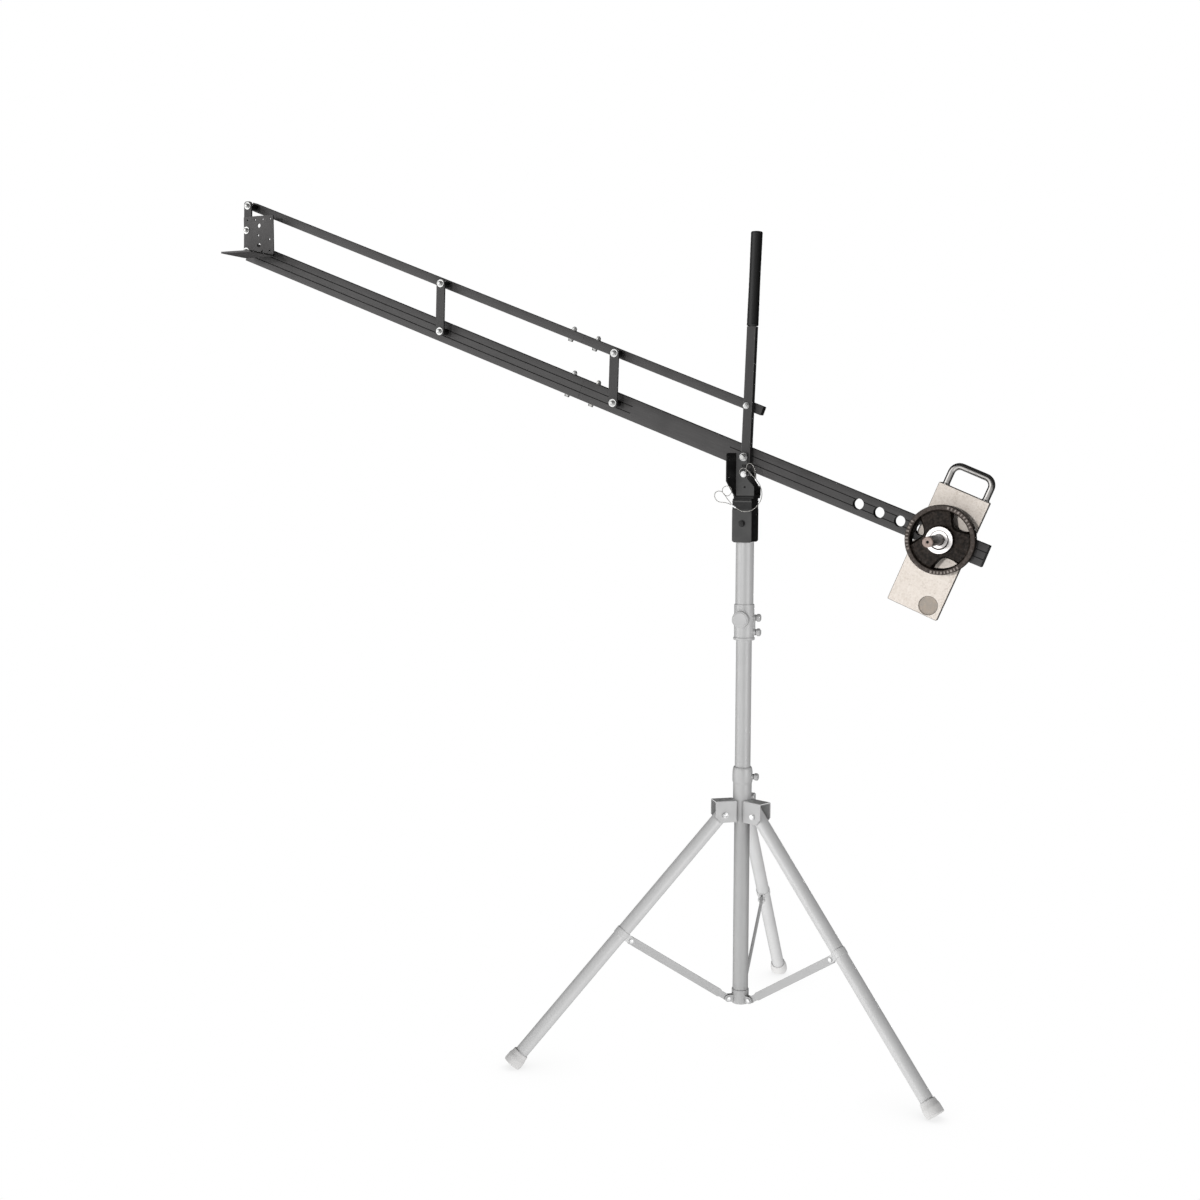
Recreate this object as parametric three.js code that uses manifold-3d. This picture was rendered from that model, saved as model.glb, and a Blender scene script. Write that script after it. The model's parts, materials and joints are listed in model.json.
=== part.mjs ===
// Camera jib crane on a folding steel stand, in millimetres, +Z up.
// The arm's front end, with the camera bracket, points to -X. The side with the
// links, the lever and the cast weight is -Y. The feet stand at Z = 0.
import * as THREE from "three";
import { mergeVertices } from "three/addons/utils/BufferGeometryUtils.js";
import Module from "manifold-3d";

const wasm = await Module();
wasm.setup();

// ---------------------------------------------------------------- dimensions
const DEG = Math.PI / 180;
const PIVOT_X = 3; // tilt axis, ahead of or behind the column axis
const PIVOT_Z = 1700; // tilt axis above the floor
const TILT = 21.38; // beam, front end up
const LEAN = 1.88; // lever and links, to the rear
const LINK_H = 141.4; // lower to upper pivot of the lever and the links
const D_F = 1773; // camera head, ahead of the tilt axis
const D_A = 1028; // front link
const D_B = 421.5; // rear link
const FRONT_OVER = 27; // beam runs past the head's lower pivot
const ROD_OVER = 14; // rod runs past the head's upper pivot
const SEAM = 546; // joint between the front and rear sections
const BEAM_REAR = 708; // rear end of the rear section
const BEAM_H = 61;
const BEAM_T = 25.4;
const BEAM_WALL = 3;
const BEAM_DROP = -2.5; // beam centre line below the pivot line
const BEAM_Y = 1.3; // near face of the beam and the rod
const GROOVE_W = 2.6;
const GROOVE_D = 1.1;
const SPARE_HOLES = [342, 403.2, 464.4, 525.6];
const SPARE_R = 15;
const BAR_AT = 586.8;
const BAR_R = 14;
const BAR_Y0 = -188;
const BAR_Y1 = 70;
const ROD_S = 25.4;
const ROD_WALL = 2.5;
const ROD_TAIL = 39;
const LEVER_S = 25.4;
const LEVER_Y = -13.1; // lever centre plane
const LEVER_FOOT = -16;
const GRIP_Z0 = 360;
const GRIP_Z1 = 616;
const GRIP_R = 16.2;
const LINK_W = 28;
const LINK_Y0 = -38;
const LINK_Y1 = -32;
const BRACKET_T = 5;
const BRACKET_Y = -38.3; // inner face of the upright leg
const BRACKET_FRONT = -8;
const BRACKET_BACK = 103;
const BRACKET_LOW = -21;
const BRACKET_TOP = 107;
const BRACKET_REACH = 120; // level leg, out to the near side
const PIN_X = 5.1; // lock pin
const PIN_Z = PIVOT_Z - 47.7;
const CHEEK_IN = 27;
const CHEEK_T = 4;
const SOCKET_S = 60;
const SOCKET_TOP = PIVOT_Z - 121.5;
const SOCKET_LOW = PIVOT_Z - 238;
const UPPER_R = 25.4;
const UPPER_BORE = 23;
const UPPER_Z0 = 1196.3;
const UPPER_Z1 = 1574;
const COLUMN_R = 22.225;
const COLUMN_BORE = 20;
const COLUMN_Z0 = 137.5;
const COLUMN_Z1 = 1500;
const LEG_AZIMUTH = [217.06, 337.06, 97.06];
const LEG_ANGLE = 42;
const LEG_PIVOT_R = 58;
const LEG_PIVOT_Z = 690;
const LEG_R = 19;
const LEG_BORE = 17;
const LEG_LEN = 885;
const CLIP_AT = 441;
const CLIP_EAR = 34;
const BRACE_R = 38;
const BRACE_Z = 148;
const BRACE_LEN = 347.4;
const BRACE_ANGLE = 33.46; // above level
const PLATE_R = 93;
const PLATE_Y0 = -33;
const PLATE_Y1 = 0.8;
const SLAB_W = 146;
const SLAB_Z0 = -215;
const SLAB_Z1 = 131;
const SLAB_Y0 = 28;
const SLAB_Y1 = 48;

// ----------------------------------------------------------------- materials
const mat = (color, roughness, metalness) =>
  new THREE.MeshStandardMaterial({ color, roughness, metalness });
const blackPaint = mat(0x3c3a3a, 0.55, 0.3);
const blackSteel = mat(0x201f1f, 0.5, 0.4);
const zinc = mat(0xd0d0cc, 0.3, 0.9);
const rubber = mat(0x2a2a2a, 0.9, 0);
const castIron = mat(0x241f1d, 0.8, 0.3);
const galvanised = mat(0xe1dad2, 0.6, 0.5);
const standGrey = mat(0xb6b6b6, 0.45, 0.4);
const standRubber = mat(0xa9a9a9, 0.85, 0);
const wire = mat(0xb8b5ae, 0.4, 0.8);

// ------------------------------------------------------------------- helpers
const toSolid = (g) => {
  const h = g.index ? g.toNonIndexed() : g.clone();
  for (const a of Object.keys(h.attributes))
    if (a !== "position") h.deleteAttribute(a);
  const m = mergeVertices(h, 1e-4);
  return new wasm.Manifold(
    new wasm.Mesh({
      numProp: 3,
      vertProperties: new Float32Array(m.attributes.position.array),
      triVerts: new Uint32Array(m.index.array),
    }),
  );
};
const toGeometry = (s) => {
  const m = s.getMesh();
  const g = new THREE.BufferGeometry();
  const v = new Float32Array(m.numVert * 3);
  for (let i = 0; i < m.numVert; i++)
    for (let k = 0; k < 3; k++) v[i * 3 + k] = m.vertProperties[i * m.numProp + k];
  g.setAttribute("position", new THREE.BufferAttribute(v, 3));
  g.setIndex(new THREE.BufferAttribute(new Uint32Array(m.triVerts), 1));
  return g;
};
// coplanar triangles left by the cuts are merged again
const tidy = (s) => toGeometry(s.asOriginal().simplify(0.004));
const join = (...gs) => {
  let s = toSolid(gs[0]);
  for (const g of gs.slice(1)) s = s.add(toSolid(g));
  return tidy(s);
};
const cut = (g, ...gs) => {
  let s = toSolid(g);
  for (const h of gs) s = s.subtract(toSolid(h));
  return tidy(s);
};
const meet = (a, b) => toGeometry(toSolid(a).intersect(toSolid(b)));

const box = (x0, x1, y0, y1, z0, z1) =>
  new THREE.BoxGeometry(x1 - x0, y1 - y0, z1 - z0).translate(
    (x0 + x1) / 2,
    (y0 + y1) / 2,
    (z0 + z1) / 2,
  );
const cylY = (r, y0, y1, x = 0, z = 0, n = 14) =>
  new THREE.CylinderGeometry(r, r, y1 - y0, n)
    .rotateY(Math.PI / n)
    .translate(x, (y0 + y1) / 2, z);
const cylZ = (r, z0, z1, x = 0, y = 0, n = 14) =>
  new THREE.CylinderGeometry(r, r, z1 - z0, n)
    .rotateY(Math.PI / n)
    .rotateX(Math.PI / 2)
    .translate(x, y, (z0 + z1) / 2);
const cylX = (r, x0, x1, y = 0, z = 0, n = 14) =>
  new THREE.CylinderGeometry(r, r, x1 - x0, n)
    .rotateZ(Math.PI / 2)
    .translate((x0 + x1) / 2, y, z);
const shapeOf = (pts) => {
  const s = new THREE.Shape();
  pts.forEach(([x, y], i) => (i ? s.lineTo(x, y) : s.moveTo(x, y)));
  s.closePath();
  return s;
};
const hole = (s, pts) => {
  const p = new THREE.Path();
  pts.forEach(([x, y], i) => (i ? p.lineTo(x, y) : p.moveTo(x, y)));
  p.closePath();
  s.holes.push(p);
  return s;
};
// Points of a rectangle whose corners have the given radii, anticlockwise from the low left.
const roundRect = (x0, x1, y0, y1, r, n = 3, corners = [1, 1, 1, 1]) => {
  const c = [
    [x0, y0, 1, 1, 180],
    [x1, y0, -1, 1, 270],
    [x1, y1, -1, -1, 0],
    [x0, y1, 1, -1, 90],
  ];
  const out = [];
  c.forEach(([x, y, sx, sy, a0], k) => {
    if (!corners[k] || r === 0) return out.push([x, y]);
    for (let i = 0; i <= n; i++) {
      const a = (a0 + (90 * i) / n) * DEG;
      out.push([x + sx * r + r * Math.cos(a), y + sy * r + r * Math.sin(a)]);
    }
  });
  return out;
};
const extrude = (shape, depth) =>
  new THREE.ExtrudeGeometry(shape, { depth, bevelEnabled: false, steps: 1 });
const M = new THREE.Matrix4();
const V = (x, y, z) => new THREE.Vector3(x, y, z);
// shape drawn in (y, z), run along X
const extX = (shape, x0, x1) =>
  extrude(shape, x1 - x0)
    .applyMatrix4(M.makeBasis(V(0, 1, 0), V(0, 0, 1), V(1, 0, 0)))
    .translate(x0, 0, 0);
// shape drawn in (x, z), run along Y
const extY = (shape, y0, y1) =>
  extrude(shape, y1 - y0)
    .applyMatrix4(M.makeBasis(V(1, 0, 0), V(0, 0, 1), V(0, -1, 0)))
    .translate(0, y1, 0);
const extZ = (shape, z0, z1) => extrude(shape, z1 - z0).translate(0, 0, z0);
const hexPts = (af, cx = 0, cy = 0) => {
  const r = af / Math.sqrt(3);
  return [0, 1, 2, 3, 4, 5].map((i) => [
    cx + r * Math.cos((30 + 60 * i) * DEG),
    cy + r * Math.sin((30 + 60 * i) * DEG),
  ]);
};
const hexY = (af, y0, y1, x = 0, z = 0) => extY(shapeOf(hexPts(af, x, z)), y0, y1);
const hexZ = (af, z0, z1, x = 0, y = 0) => extZ(shapeOf(hexPts(af, x, y)), z0, z1);
const tubeZ = (r, bore, z0, z1, n = 16) =>
  cut(cylZ(r, z0, z1, 0, 0, n), cylZ(bore, z0 - 1, z1 + 1, 0, 0, n));
const ringPts = (r, n, cx = 0, cy = 0) =>
  Array.from({ length: n }, (_, i) => [
    cx + r * Math.cos((2 * Math.PI * i) / n),
    cy + r * Math.sin((2 * Math.PI * i) / n),
  ]);

const frame = new THREE.Group();
const group = (parent, x = 0, y = 0, z = 0, ry = 0, rz = 0) => {
  const g = new THREE.Group();
  g.position.set(x, y, z);
  g.rotation.set(0, ry, rz, "ZYX");
  parent.add(g);
  return g;
};
const put = (parent, name, geometry, material) => {
  const m = new THREE.Mesh(geometry, material);
  m.name = name;
  parent.add(m);
  return m;
};

// --------------------------------------------------------------------- stand
const stand = group(frame);
put(stand, "column_tube", tubeZ(COLUMN_R, COLUMN_BORE, COLUMN_Z0, COLUMN_Z1), standGrey);

// Foot of the column: a ring with three pairs of lugs for the braces.
{
  let g = cylZ(24.5, 133, 174, 0, 0, 16);
  for (const az of LEG_AZIMUTH)
    for (const s of [-1, 1]) {
      const a = Math.min(s * 3.6, s * 7.4);
      const lug = join(
        box(20, BRACE_R, a, a + 3.8, BRACE_Z - 10, BRACE_Z + 10),
        cylY(10, a, a + 3.8, BRACE_R, BRACE_Z, 10),
        hexY(10, s > 0 ? 7.0 : -11.4, s > 0 ? 11.4 : -7.0, BRACE_R, BRACE_Z),
      );
      g = join(g, lug.rotateZ(az * DEG));
    }
  put(stand, "base_block", cut(g, cylZ(COLUMN_R + 0.3, 120, 190, 0, 0, 16)), standGrey);
}

// Hub that slides on the column, with three inverted channels for the legs.
{
  let g = join(
    cylZ(26.5, 664, 800, 0, 0, 16),
    cylZ(28.5, 800, 823, 0, 0, 16),
    cylX(8, 24, 34, 0, 796, 10),
  );
  for (const az of LEG_AZIMUTH) {
    const channel = cut(
      box(14, 86, -23.2, 23.2, 668, 730),
      box(26.4, 90, -19.7, 19.7, 660, 726.4),
    );
    // sloping cut at the channel's outer lower corner
    const trimmed = cut(
      channel,
      extY(shapeOf([[66, 660], [100, 660], [100, 704]]), -30, 30),
    );
    g = join(g, trimmed.rotateZ(az * DEG));
  }
  for (const az of LEG_AZIMUTH)
    g = cut(g, cylY(4.4, -40, 40, LEG_PIVOT_R, LEG_PIVOT_Z, 8).rotateZ(az * DEG));
  // room for each leg's upper end inside its channel
  for (const az of LEG_AZIMUTH)
    g = cut(g, box(27.2, 84, -19.7, 19.7, 650, 726.4).rotateZ(az * DEG));
  g = cut(g, cylZ(COLUMN_R + 0.35, 650, 840, 0, 0, 16), cylX(3.5, 20, 40, 0, 796, 8));
  put(stand, "leg_hub", g, standGrey);
}
put(
  stand,
  "hub_knob",
  join(cylX(3.1, 24, 36, 0, 796, 6), cylX(10.5, 34.4, 47, 0, 796, 8)),
  standGrey,
);

LEG_AZIMUTH.forEach((az, k) => {
  const n = k + 1;
  const sector = group(frame, 0, 0, 0, 0, az * DEG);
  put(
    sector,
    "hub_bolt_" + n,
    join(
      cylY(4, -24, 24, LEG_PIVOT_R, LEG_PIVOT_Z, 8),
      cylY(8, -25.2, -23.5, LEG_PIVOT_R, LEG_PIVOT_Z, 8),
      cylY(8, 23.5, 25.2, LEG_PIVOT_R, LEG_PIVOT_Z, 8),
      hexY(13, -29.5, -25, LEG_PIVOT_R, LEG_PIVOT_Z),
      hexY(13, 25, 30.5, LEG_PIVOT_R, LEG_PIVOT_Z),
    ),
    standGrey,
  );
  const leg = group(sector, LEG_PIVOT_R, 0, LEG_PIVOT_Z, -LEG_ANGLE * DEG);
  put(
    leg,
    "leg_tube_" + n,
    cut(
      cylZ(LEG_R, -LEG_LEN, 16, 0, 0, 14),
      cylZ(LEG_BORE, -LEG_LEN - 1, 17, 0, 0, 14),
      cylY(4.4, -30, 30, 0, 0, 8),
    ),
    standGrey,
  );
  // clip round the leg with two ears and the brace's bolt
  const ear = (y0, y1) =>
    join(box(-CLIP_EAR, -16, y0, y1, -CLIP_AT - 9, -CLIP_AT + 9), cylY(9, y0, y1, -CLIP_EAR, -CLIP_AT, 10));
  let clip = join(cylZ(20.9, -CLIP_AT - 10, -CLIP_AT + 10, 0, 0, 14), ear(-6.6, -3.1), ear(3.1, 6.6));
  clip = cut(clip, cylZ(LEG_R + 0.35, -CLIP_AT - 40, -CLIP_AT + 40, 0, 0, 14));
  clip = join(
    clip,
    cylY(3, -8, 8, -CLIP_EAR, -CLIP_AT, 8),
    hexY(10, -11.5, -6.4, -CLIP_EAR, -CLIP_AT),
    hexY(10, 6.4, 10.5, -CLIP_EAR, -CLIP_AT),
  );
  put(leg, "leg_clip_" + n, clip, standGrey);
  // rubber boot in line with the leg, cut flat where it stands
  const a = LEG_ANGLE * DEG;
  const axisTube = (r, d0, d1) =>
    cylZ(r, -d1, -d0, 0, 0, 14).rotateY(-a).translate(LEG_PIVOT_R, 0, LEG_PIVOT_Z);
  let foot = join(axisTube(22.5, LEG_LEN - 12, LEG_LEN + 8), axisTube(26, LEG_LEN + 4, LEG_LEN + 30));
  foot = meet(foot, box(0, 900, -60, 60, 0, 90));
  foot = cut(foot, axisTube(LEG_R + 0.3, LEG_LEN - 80, LEG_LEN + 0.4));
  put(sector, "foot_" + n, foot, standRubber);
  const brace = group(sector, BRACE_R, 0, BRACE_Z, (90 - BRACE_ANGLE) * DEG);
  put(
    brace,
    "brace_" + n,
    cut(
      // narrower at the column, where the end turns close to the foot block
      join(
        extY(shapeOf(roundRect(-9, 9, -9, 60, 8.9, 5)), -2.5, 2.5),
        extY(shapeOf(roundRect(-11.5, 11.5, 22, BRACE_LEN + 11.5, 11.4, 5)), -2.5, 2.5),
      ),
      cylY(3.4, -5, 5, 0, BRACE_LEN, 8),
      cylY(3.4, -5, 5, 0, 0, 8),
    ),
    standGrey,
  );
});

// Upper tube, its clamp collar, and the square socket that carries the pan bearing.
const riser = group(frame);
{
  const tube = cut(cylZ(UPPER_R, UPPER_Z0, UPPER_Z1, 0, 0, 16), cylZ(UPPER_BORE, UPPER_Z0 - 1, UPPER_Z1 - 42, 0, 0, 16), cylZ(10.5, 1500, UPPER_Z1 + 1, 0, 0, 14), cylY(4.4, -30, 0, 0, PIVOT_Z - 185, 8));
  put(riser, "upper_tube", tube, standGrey);
}
{
  let g = join(
    cylZ(28.5, 1186, 1287, 0, 0, 16),
    cylZ(30, 1186, 1192, 0, 0, 16),
    cylY(24, -37, 0, -1, 1246, 16),
    cylY(20, -39, 0, -1, 1246, 16),
    cylX(9, 20, 36, 0, 1250, 10),
    cylX(9, 20, 36, 0, 1209, 10),
  );
  g = cut(
    g,
    cylZ(UPPER_R + 0.35, 1196, 1300, 0, 0, 16),
    cylZ(COLUMN_R + 0.35, 1180, 1200, 0, 0, 16),
    cylX(3.5, 20, 40, 0, 1250, 8),
    cylX(3.5, 20, 40, 0, 1209, 8),
  );
  put(riser, "upper_collar", g, standGrey);
}
[1250, 1209].forEach((z, i) =>
  put(
    riser,
    "collar_knob_" + (i + 1),
    join(cylX(3.1, 27, 38, 0, z, 6), cylX(11, 36.4, 48.5, 0, z, 8)),
    standGrey,
  ),
);
{
  const h = SOCKET_S / 2;
  let g = extY(shapeOf(roundRect(-h, h, SOCKET_LOW, SOCKET_TOP, 9, 3, [1, 1, 0, 0])), -h, h);
  g = meet(g, extZ(shapeOf(roundRect(-h, h, -h, h, 4, 2)), SOCKET_LOW - 1, SOCKET_TOP + 1));
  g = cut(
    g,
    extZ(shapeOf(roundRect(-h + 3, h - 3, -h + 3, h - 3, 2, 1)), SOCKET_LOW - 1, SOCKET_TOP - 4),
    cylZ(10.5, SOCKET_TOP - 10, SOCKET_TOP + 1, 0, 0, 14),
    cylY(4.4, -40, 0, 0, PIVOT_Z - 185, 8),
  );
  put(riser, "pan_socket", g, blackSteel);
}
put(
  riser,
  "socket_bolt",
  join(cylY(4, -33, -23.4, 0, PIVOT_Z - 185, 8), hexY(13, -37, -31.9, 0, PIVOT_Z - 185), cylY(9.5, -32, -30.3, 0, PIVOT_Z - 185, 10)),
  blackSteel,
);

// ------------------------------------------------------------------ pan head
const pan = group(frame);
put(
  pan,
  "pan_spindle",
  join(extZ(shapeOf(roundRect(-29, 29, -29, 29, 4, 2)), PIVOT_Z - 121.2, PIVOT_Z - 115.8), cylZ(10, PIVOT_Z - 160, PIVOT_Z - 118, 0, 0, 14)),
  blackSteel,
);
{
  const x = (v) => v; // outline in column coordinates, heights above the tilt axis
  const z = (v) => PIVOT_Z + v;
  const cheekPts = (edge) => [
    [x(-26), z(-110)],
    [x(34.5), z(-110)],
    [x(34.5), z(-82)],
    [x(edge), z(-60.5)],
    [x(edge), z(8)],
    [x(edge - 4), z(12)],
    [x(-18), z(12)],
    [x(-20.6), z(9)],
    [x(-20.6), z(-62)],
    [x(-26), z(-98)],
  ];
  const cheek = (y0, y1, edge) =>
    cut(
      extY(shapeOf(cheekPts(edge)), y0, y1),
      cylY(6.5, y0 - 2, y1 + 2, PIVOT_X, PIVOT_Z, 10),
      cylY(5.3, y0 - 2, y1 + 2, PIN_X, PIN_Z, 8),
      cylY(4, y0 - 2, y1 + 2, 5.5, z(-25), 8),
      cylY(2.8, y0 - 2, y1 + 2, 7.5, z(-83.5), 8),
    );
  // front flanges, bent outwards
  const flange = (s) => {
    const g = extX(
      shapeOf([
        [0, z(-110)],
        [4, z(-110)],
        [14, z(-100)],
        [40, z(-67)],
        [40, z(5)],
        [36, z(11)],
        [0, z(11)],
      ]),
      0,
      CHEEK_T,
    );
    const turned = g.rotateZ(24 * DEG).translate(-20.6, CHEEK_IN + CHEEK_T - 3.4, 0);
    return s > 0 ? turned : toGeometry(toSolid(turned).scale([1, -1, 1]));
  };
  const y = CHEEK_IN + CHEEK_T;
  const yoke = join(
    cheek(-y, -CHEEK_IN, 14.5),
    cheek(CHEEK_IN, y, 21),
    box(-26, 34.5, -y, y, z(-115.5), z(-106)),
    flange(1),
    flange(-1),
  );
  put(pan, "yoke", cut(yoke, cylX(2.2, -60, -20, -54, z(-9), 8), cylX(2.2, -60, -20, -54, z(-57), 8)), blackSteel);
}
put(
  pan,
  "main_pivot_bolt",
  join(
    cylY(6, -41, 39, PIVOT_X, PIVOT_Z, 10),
    cylY(11.5, -33.2, -31.3, PIVOT_X, PIVOT_Z, 12),
    cylY(11.5, 31.3, 33.2, PIVOT_X, PIVOT_Z, 12),
    hexY(18, -40, -33, PIVOT_X, PIVOT_Z),
    hexY(18, 33, 40, PIVOT_X, PIVOT_Z),
  ),
  zinc,
);
put(
  pan,
  "lock_pin",
  join(
    cylY(5, -36, 40, PIN_X, PIN_Z, 8),
    cylY(8.5, -38.5, -31.3, PIN_X, PIN_Z, 12),
    cylY(6.5, -41, -38, PIN_X, PIN_Z, 10),
  ),
  zinc,
);

// ------------------------------------------------------------- beam and rod
const tiltGroup = group(frame, PIVOT_X, 0, PIVOT_Z, TILT * DEG);
const leanX = Math.sin(LEAN * DEG);
const leanZ = Math.cos(LEAN * DEG);
// a point on the beam's pivot line, d ahead of the tilt axis, and the same raised to the rod
const lower = (d) => [
  PIVOT_X - d * Math.cos(TILT * DEG),
  PIVOT_Z + d * Math.sin(TILT * DEG),
];
const upper = (d) => {
  const [px, pz] = lower(d);
  return [px + LINK_H * leanX, pz + LINK_H * leanZ];
};
// Hollow section with two grooves on each side, drawn in (y, z).
const beamProfile = () => {
  const y0 = BEAM_Y,
    y1 = BEAM_Y + BEAM_T;
  const z0 = BEAM_DROP - BEAM_H / 2,
    z1 = BEAM_DROP + BEAM_H / 2;
  const g = BEAM_H / 3;
  const side = (z) => [z - GROOVE_W / 2, z + GROOVE_W / 2];
  const [a0, a1] = side(z0 + g);
  const [b0, b1] = side(z1 - g);
  const c = 1.2;
  const s = shapeOf([
    [y0 + c, z0],
    [y1 - c, z0],
    [y1, z0 + c],
    [y1, a0],
    [y1 - GROOVE_D, a0],
    [y1 - GROOVE_D, a1],
    [y1, a1],
    [y1, b0],
    [y1 - GROOVE_D, b0],
    [y1 - GROOVE_D, b1],
    [y1, b1],
    [y1, z1 - c],
    [y1 - c, z1],
    [y0 + c, z1],
    [y0, z1 - c],
    [y0, b1],
    [y0 + GROOVE_D, b1],
    [y0 + GROOVE_D, b0],
    [y0, b0],
    [y0, a1],
    [y0 + GROOVE_D, a1],
    [y0 + GROOVE_D, a0],
    [y0, a0],
    [y0, z0 + c],
  ]);
  const w = BEAM_WALL;
  return hole(s, [
    [y0 + w, z0 + w],
    [y1 - w, z0 + w],
    [y1 - w, z1 - w],
    [y0 + w, z1 - w],
  ]);
};
const cross = (r, x, z = 0, n = 8) => cylY(r, BEAM_Y - 5, BEAM_Y + 35, x, z, n);
const BEAM_MID = BEAM_Y + BEAM_T / 2;
const upright = (r, x, z0, z1) => cylZ(r, z0, z1, x, BEAM_MID, 8);
const BOLTS = [-SEAM + 41, -SEAM - 41];
put(
  tiltGroup,
  "beam_front",
  cut(
    extX(beamProfile(), -D_F - FRONT_OVER, -SEAM - 0.3),
    cross(4.5, -D_F),
    cross(4.5, -D_A),
    upright(4.5, BOLTS[1], -60, 60),
  ),
  blackPaint,
);
put(
  tiltGroup,
  "beam_rear",
  cut(
    extX(beamProfile(), -SEAM + 0.3, BEAM_REAR),
    cross(4.5, -D_B),
    cross(6.5, 0),
    ...SPARE_HOLES.map((d) => cross(SPARE_R, d, BEAM_DROP, 16)),
    cross(BAR_R + 0.4, BAR_AT, BEAM_DROP, 16),
    upright(4.5, BOLTS[0], -60, 60),
  ),
  blackPaint,
);
put(
  tiltGroup,
  "beam_joiner",
  cut(
    box(
      -SEAM - 95,
      -SEAM + 95,
      BEAM_Y + BEAM_WALL + 0.3,
      BEAM_Y + BEAM_T - BEAM_WALL - 0.3,
      BEAM_DROP - BEAM_H / 2 + BEAM_WALL + 0.3,
      BEAM_DROP + BEAM_H / 2 - BEAM_WALL - 0.3,
    ),
    upright(4.5, BOLTS[0], -60, 60),
    upright(4.5, BOLTS[1], -60, 60),
  ),
  zinc,
);
put(
  tiltGroup,
  "beam_end_cap",
  join(
    box(BEAM_REAR + 0.3, BEAM_REAR + 3.6, BEAM_Y + 0.2, BEAM_Y + BEAM_T - 0.2, BEAM_DROP - 30.3, BEAM_DROP + 30.3),
    box(BEAM_REAR - 14, BEAM_REAR + 1, BEAM_Y + BEAM_WALL + 0.3, BEAM_Y + BEAM_T - BEAM_WALL - 0.3, BEAM_DROP - 27.2, BEAM_DROP + 27.2),
  ),
  rubber,
);
// Upright through-bolts of the two section joints.
const standingBolt = (x, lo, hi) =>
  join(
    upright(4, x, lo - 13.5, hi + 9),
    cylZ(8.5, lo - 2, lo - 0.3, x, BEAM_MID, 10),
    cylZ(8.5, hi + 0.3, hi + 2, x, BEAM_MID, 10),
    hexZ(13, lo - 8.5, lo - 1.9, x, BEAM_MID),
    hexZ(13, hi + 1.9, hi + 11.5, x, BEAM_MID),
  );
BOLTS.forEach((x, i) =>
  put(tiltGroup, "beam_bolt_" + (i + 1), standingBolt(x, BEAM_DROP - BEAM_H / 2, BEAM_DROP + BEAM_H / 2), zinc),
);

const rodGroup = group(frame, upper(0)[0], 0, upper(0)[1], TILT * DEG);
const rodProfile = () => {
  const r = ROD_S / 2,
    w = ROD_WALL;
  return hole(shapeOf(roundRect(BEAM_Y, BEAM_Y + ROD_S, -r, r, 1.5, 1)), [
    [BEAM_Y + w, -r + w],
    [BEAM_Y + ROD_S - w, -r + w],
    [BEAM_Y + ROD_S - w, r - w],
    [BEAM_Y + w, r - w],
  ]);
};
put(
  rodGroup,
  "top_rod_front",
  cut(
    extX(rodProfile(), -D_F - ROD_OVER, -SEAM - 0.3),
    cross(4.5, -D_F),
    cross(4.5, -D_A),
    upright(4.5, BOLTS[1], -30, 30),
  ),
  blackPaint,
);
{
  const r = ROD_S / 2 - ROD_WALL;
  put(
    rodGroup,
    "top_rod_rear",
    cut(
      join(
        cut(
          extX(rodProfile(), -SEAM + 0.3, ROD_TAIL),
          cross(4.5, -D_B),
          cross(4.5, 0),
        ),
        // spigot pressed into this section, sliding into the front one
        box(-SEAM - 80, -SEAM + 0.8, BEAM_MID - r + 0.4, BEAM_MID + r - 0.4, -r + 0.4, r - 0.4),
        box(-SEAM + 0.6, -SEAM + 80, BEAM_MID - r - 0.2, BEAM_MID + r + 0.2, -r - 0.2, r + 0.2),
      ),
      upright(4.5, BOLTS[0], -30, 30),
      upright(4.5, BOLTS[1], -30, 30),
    ),
    blackPaint,
  );
}
BOLTS.forEach((x, i) =>
  put(rodGroup, "rod_bolt_" + (i + 1), standingBolt(x, -ROD_S / 2, ROD_S / 2), zinc),
);

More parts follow.
